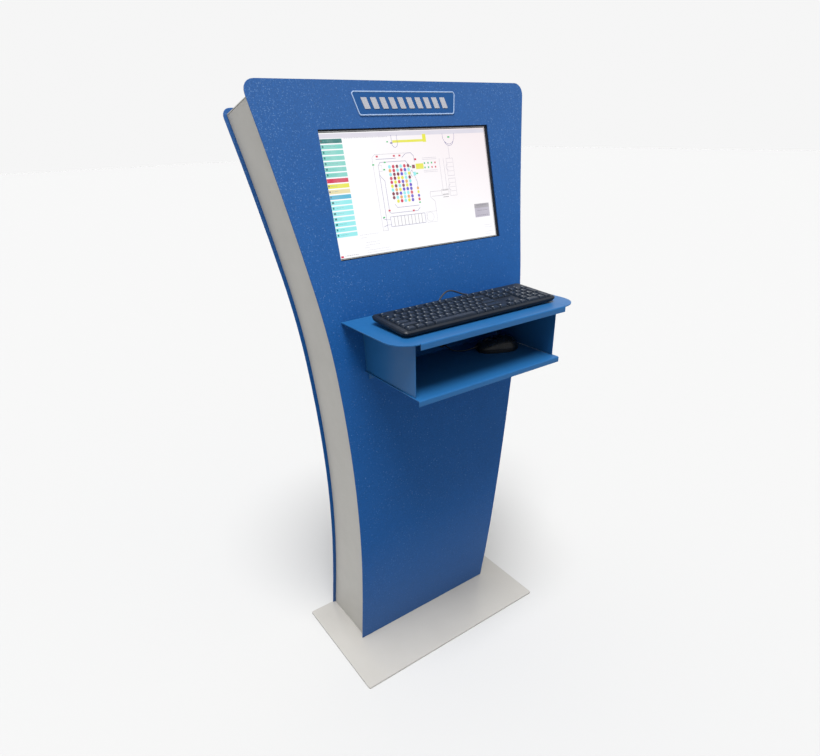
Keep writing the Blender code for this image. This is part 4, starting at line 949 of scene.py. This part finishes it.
def loose_keys():
    """Keys with a joint of their own."""
    for name, depth in (("space_bar", KEY_DEPTH), ("return_key", KEY_DEPTH),
                        ("pad_plus_key", TALL_KEY), ("pad_enter_key", TALL_KEY)):
        low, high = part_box(name)
        place = press_frame(f"{name}_press")
        shift = place.translation.x
        bm = bmesh.new()
        add_cap(bm, low.x - shift, high.x - shift, depth, -0.0012)
        cap = add_piece(f"{name}_cap", bm, KEY_BLACK, name, place, 50)
        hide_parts(name)


def keyboard():
    finish_node("keyboard_base", BLACK, CABINET, 0.0008, 40)
    finish_node("keyboard_cover", BLACK, CABINET, 0.0007, 40)
    for side in ("left", "right"):
        node = f"keyboard_foot_{side}"
        finish_node(node, BLACK, node, 0.0004)
    key_rows()
    loose_keys()
    pad = block_starts()[2]
    bm = bmesh.new()
    for step in (1, 2, 3):
        add_prism(bm, circle(0.0014, 12, (pad + step * KEY_PITCH, 0.0)), -0.0004, 0.0004)
    place = press_frame("function_keys_press")
    add_piece("keyboard_lamps", bm, KEY_PRINT, CABINET, place)


# ---------------------------------------------------------------- mouse
MOUSE_LENGTH, MOUSE_WIDTH, MOUSE_TALL = 0.112, 0.061, 0.036
MOUSE_TURN = math.radians(158.0)
MOUSE_FLOOR = 0.0078
BUTTON_SPLIT = 0.004
BUTTON_SLOPE = 0.025               # rise of a button's foot towards its front, so it can be pressed
SPINE = 0.0042                     # half width of the strip between the buttons


def mouse_top(x, side):
    """Half width at x, and height above the tray at a fraction of it."""
    reach = min(abs(2 * x / MOUSE_LENGTH), 1.0)
    half = MOUSE_WIDTH / 2 * (1 - reach ** 2.8) ** 0.45
    crest = -0.008
    if x < crest:
        ridge = MOUSE_TALL * max(1 - ((crest - x) / 0.052) ** 2.6, 0.0) ** 0.5
    else:
        ridge = MOUSE_TALL * (1 - 0.5 * ((x - crest) / 0.062) ** 2)
    crown = ridge * (1 - 0.45 * abs(side) ** 2.6)
    soften = (1 - abs(side) ** 8) ** 0.4 * (1 - reach ** 16) ** 0.4
    return half, MOUSE_FLOOR + max(crown - MOUSE_FLOOR, 0.0) * soften


def eased(start, end, steps):
    """Numbers from start to end that lie closer together near both ends."""
    return [start + (end - start) * (1 - math.cos(math.pi * step / steps)) / 2 for step in range(steps + 1)]


def add_skin(bm, start, end, inner, outer, skirt, rise=0.0):
    """A smooth part of the mouse's top between two lengths and two sideways limits.

    inner and outer give the sideways limits from the half width. The foot may slope up.
    """
    sections = []
    for x in eased(start, end, 24):
        half, _ = mouse_top(x, 0.0)
        foot = MOUSE_FLOOR + rise * (x - start)
        upper = []
        for y in eased(inner(half), outer(half), 22):
            _, height = mouse_top(x, min(abs(y) / half, 0.999))
            upper.append(Vector((x, y, max(foot + 0.0002, height))))
        lower = [Vector((x, point.y, max(foot, point.z - skirt))) for point in upper[::-1]]
        sections.append(upper + lower)
    add_loft(bm, sections)


def mouse():
    finish_node("mouse_base", MOUSE_BLACK, CABINET, 0.0008, 50)
    middle, floor = middle_of("mouse_base"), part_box("mouse_base")[0].z - 0.0003
    turn = Matrix.Rotation(MOUSE_TURN, 4, "Z")
    place = Matrix.Translation((middle.x, middle.y, floor)) @ turn @ Matrix.Translation((0.0009, 0, 0))
    mouse_shell(place)
    mouse_buttons(place)
    mouse_wheel(turn)


def mouse_shell(place):
    """The palm rest and the strip between the buttons, with a gap for the wheel."""
    reach = MOUSE_LENGTH / 2
    bm = bmesh.new()
    add_skin(bm, 0.0004 - reach, BUTTON_SPLIT, lambda half: -half * 0.999, lambda half: half * 0.999, 0.05)
    for start, end in ((BUTTON_SPLIT - 0.002, 0.0170), (0.0390, reach - 0.0060)):
        add_skin(bm, start, end, lambda half: -SPINE, lambda half: SPINE, 0.05)
    shell = add_piece("mouse_cover", bm, MOUSE_BLACK, CABINET, place, 50)
    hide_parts("mouse_shell")


def mouse_buttons(place):
    inner = SPINE + 0.0005
    for node, side in (("mouse_button_left", 1), ("mouse_button_right", -1)):
        bm = bmesh.new()
        add_skin(bm, BUTTON_SPLIT + 0.0006, MOUSE_LENGTH / 2 - 0.0035, lambda half: side * inner,
                 lambda half: side * half * 0.985, 0.010, BUTTON_SLOPE)
        button = add_piece(f"{node}_cap", bm, MOUSE_BLACK, node, place, 50)
        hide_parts(node)


def mouse_wheel(turn):
    """A ribbed roller, upright between the buttons."""
    ribs = []
    for step in range(60):
        radius = 0.0105 if step % 2 else 0.0099
        angle = math.pi * step / 30
        ribs.append((math.cos(angle) * radius, math.sin(angle) * radius))
    bm = bmesh.new()
    add_prism(bm, ribs, -0.0032, 0.0032)
    axle = Matrix.Rotation(math.radians(90), 4, "X")
    upright = Matrix.Translation(middle_of("mouse_wheel")) @ turn @ axle
    roller = add_piece("mouse_roller", bm, RUBBER, "mouse_wheel", upright, 50)
    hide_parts("mouse_wheel")


# ---------------------------------------------------------------- studio
ROOM_BACK, ROOM_FRONT, CEILING = 0.92, 0.48, 0.66
LAMP_POWER, LAMP_SIZE = 5.6, math.radians(28)
LAMP_TURN = (math.radians(18), 0, math.radians(-32))
FLOOR_SIZE, FLOOR_GREY = 30, 0.398


def ramp(tree, value, low, high, to_low, to_high):
    """A smooth step, whose ends are numbers or sockets."""
    node = tree.nodes.new("ShaderNodeMapRange")
    node.interpolation_type = "SMOOTHSTEP"
    for name, number in (("From Min", low), ("From Max", high)):
        node.inputs[name].default_value = number
    for name, number in (("To Min", to_low), ("To Max", to_high)):
        if isinstance(number, bpy.types.NodeSocket):
            tree.links.new(number, node.inputs[name])
        else:
            node.inputs[name].default_value = number
    tree.links.new(value, node.inputs["Value"])
    return node.outputs["Result"]


def studio_floor():
    bm = bmesh.new()
    add_box(bm, (-FLOOR_SIZE, -FLOOR_SIZE, -0.05), (FLOOR_SIZE, FLOOR_SIZE, 0.0))
    mesh = bpy.data.meshes.new("floor")
    bm.to_mesh(mesh)
    bm.free()
    floor = bpy.data.objects.new("floor", mesh)
    bpy.context.scene.collection.objects.link(floor)
    paper = Nodes("floor_paper", (FLOOR_GREY,) * 3, 1.0)
    paper.shader.inputs["Specular IOR Level"].default_value = 0.0
    mesh.materials.append(paper.material)


def studio_walls():
    """A pale room, brighter at the back than at the front."""
    world = bpy.data.worlds.new("studio")
    bpy.context.scene.world = world
    world.use_nodes = True
    tree = world.node_tree
    split = tree.nodes.new("ShaderNodeSeparateXYZ")
    tree.links.new(tree.nodes.new("ShaderNodeTexCoord").outputs["Generated"], split.inputs[0])
    walls = ramp(tree, split.outputs["Y"], -0.45, 0.35, ROOM_FRONT, ROOM_BACK)
    room = ramp(tree, split.outputs["Z"], 0.20, 0.60, walls, CEILING)
    tree.links.new(room, tree.nodes["Background"].inputs["Strength"])
    tree.nodes["Background"].inputs["Color"].default_value = (1.0, 1.0, 1.0, 1.0)


def studio_lamp():
    data = bpy.data.lights.new("lamp", "SUN")
    data.energy = LAMP_POWER
    data.angle = LAMP_SIZE
    lamp = bpy.data.objects.new("lamp", data)
    lamp.rotation_euler = LAMP_TURN
    bpy.context.scene.collection.objects.link(lamp)


make_cord("keyboard", KEYBOARD_ROUTE, KEYBOARD_CORD)
make_cord("mouse", MOUSE_ROUTE, MOUSE_CORD)
random.seed(7)
cabinet()
shelf()
badge()
display()
service_door()
electronics()
hinge_screws()
rear_screws()
inlet_pins()
painted_socket_hole_shade()
computer_panel()
lock_slot()
keyboard()
mouse()
studio_floor()
studio_walls()
studio_lamp()
bpy.context.scene.view_settings.view_transform = "Standard"
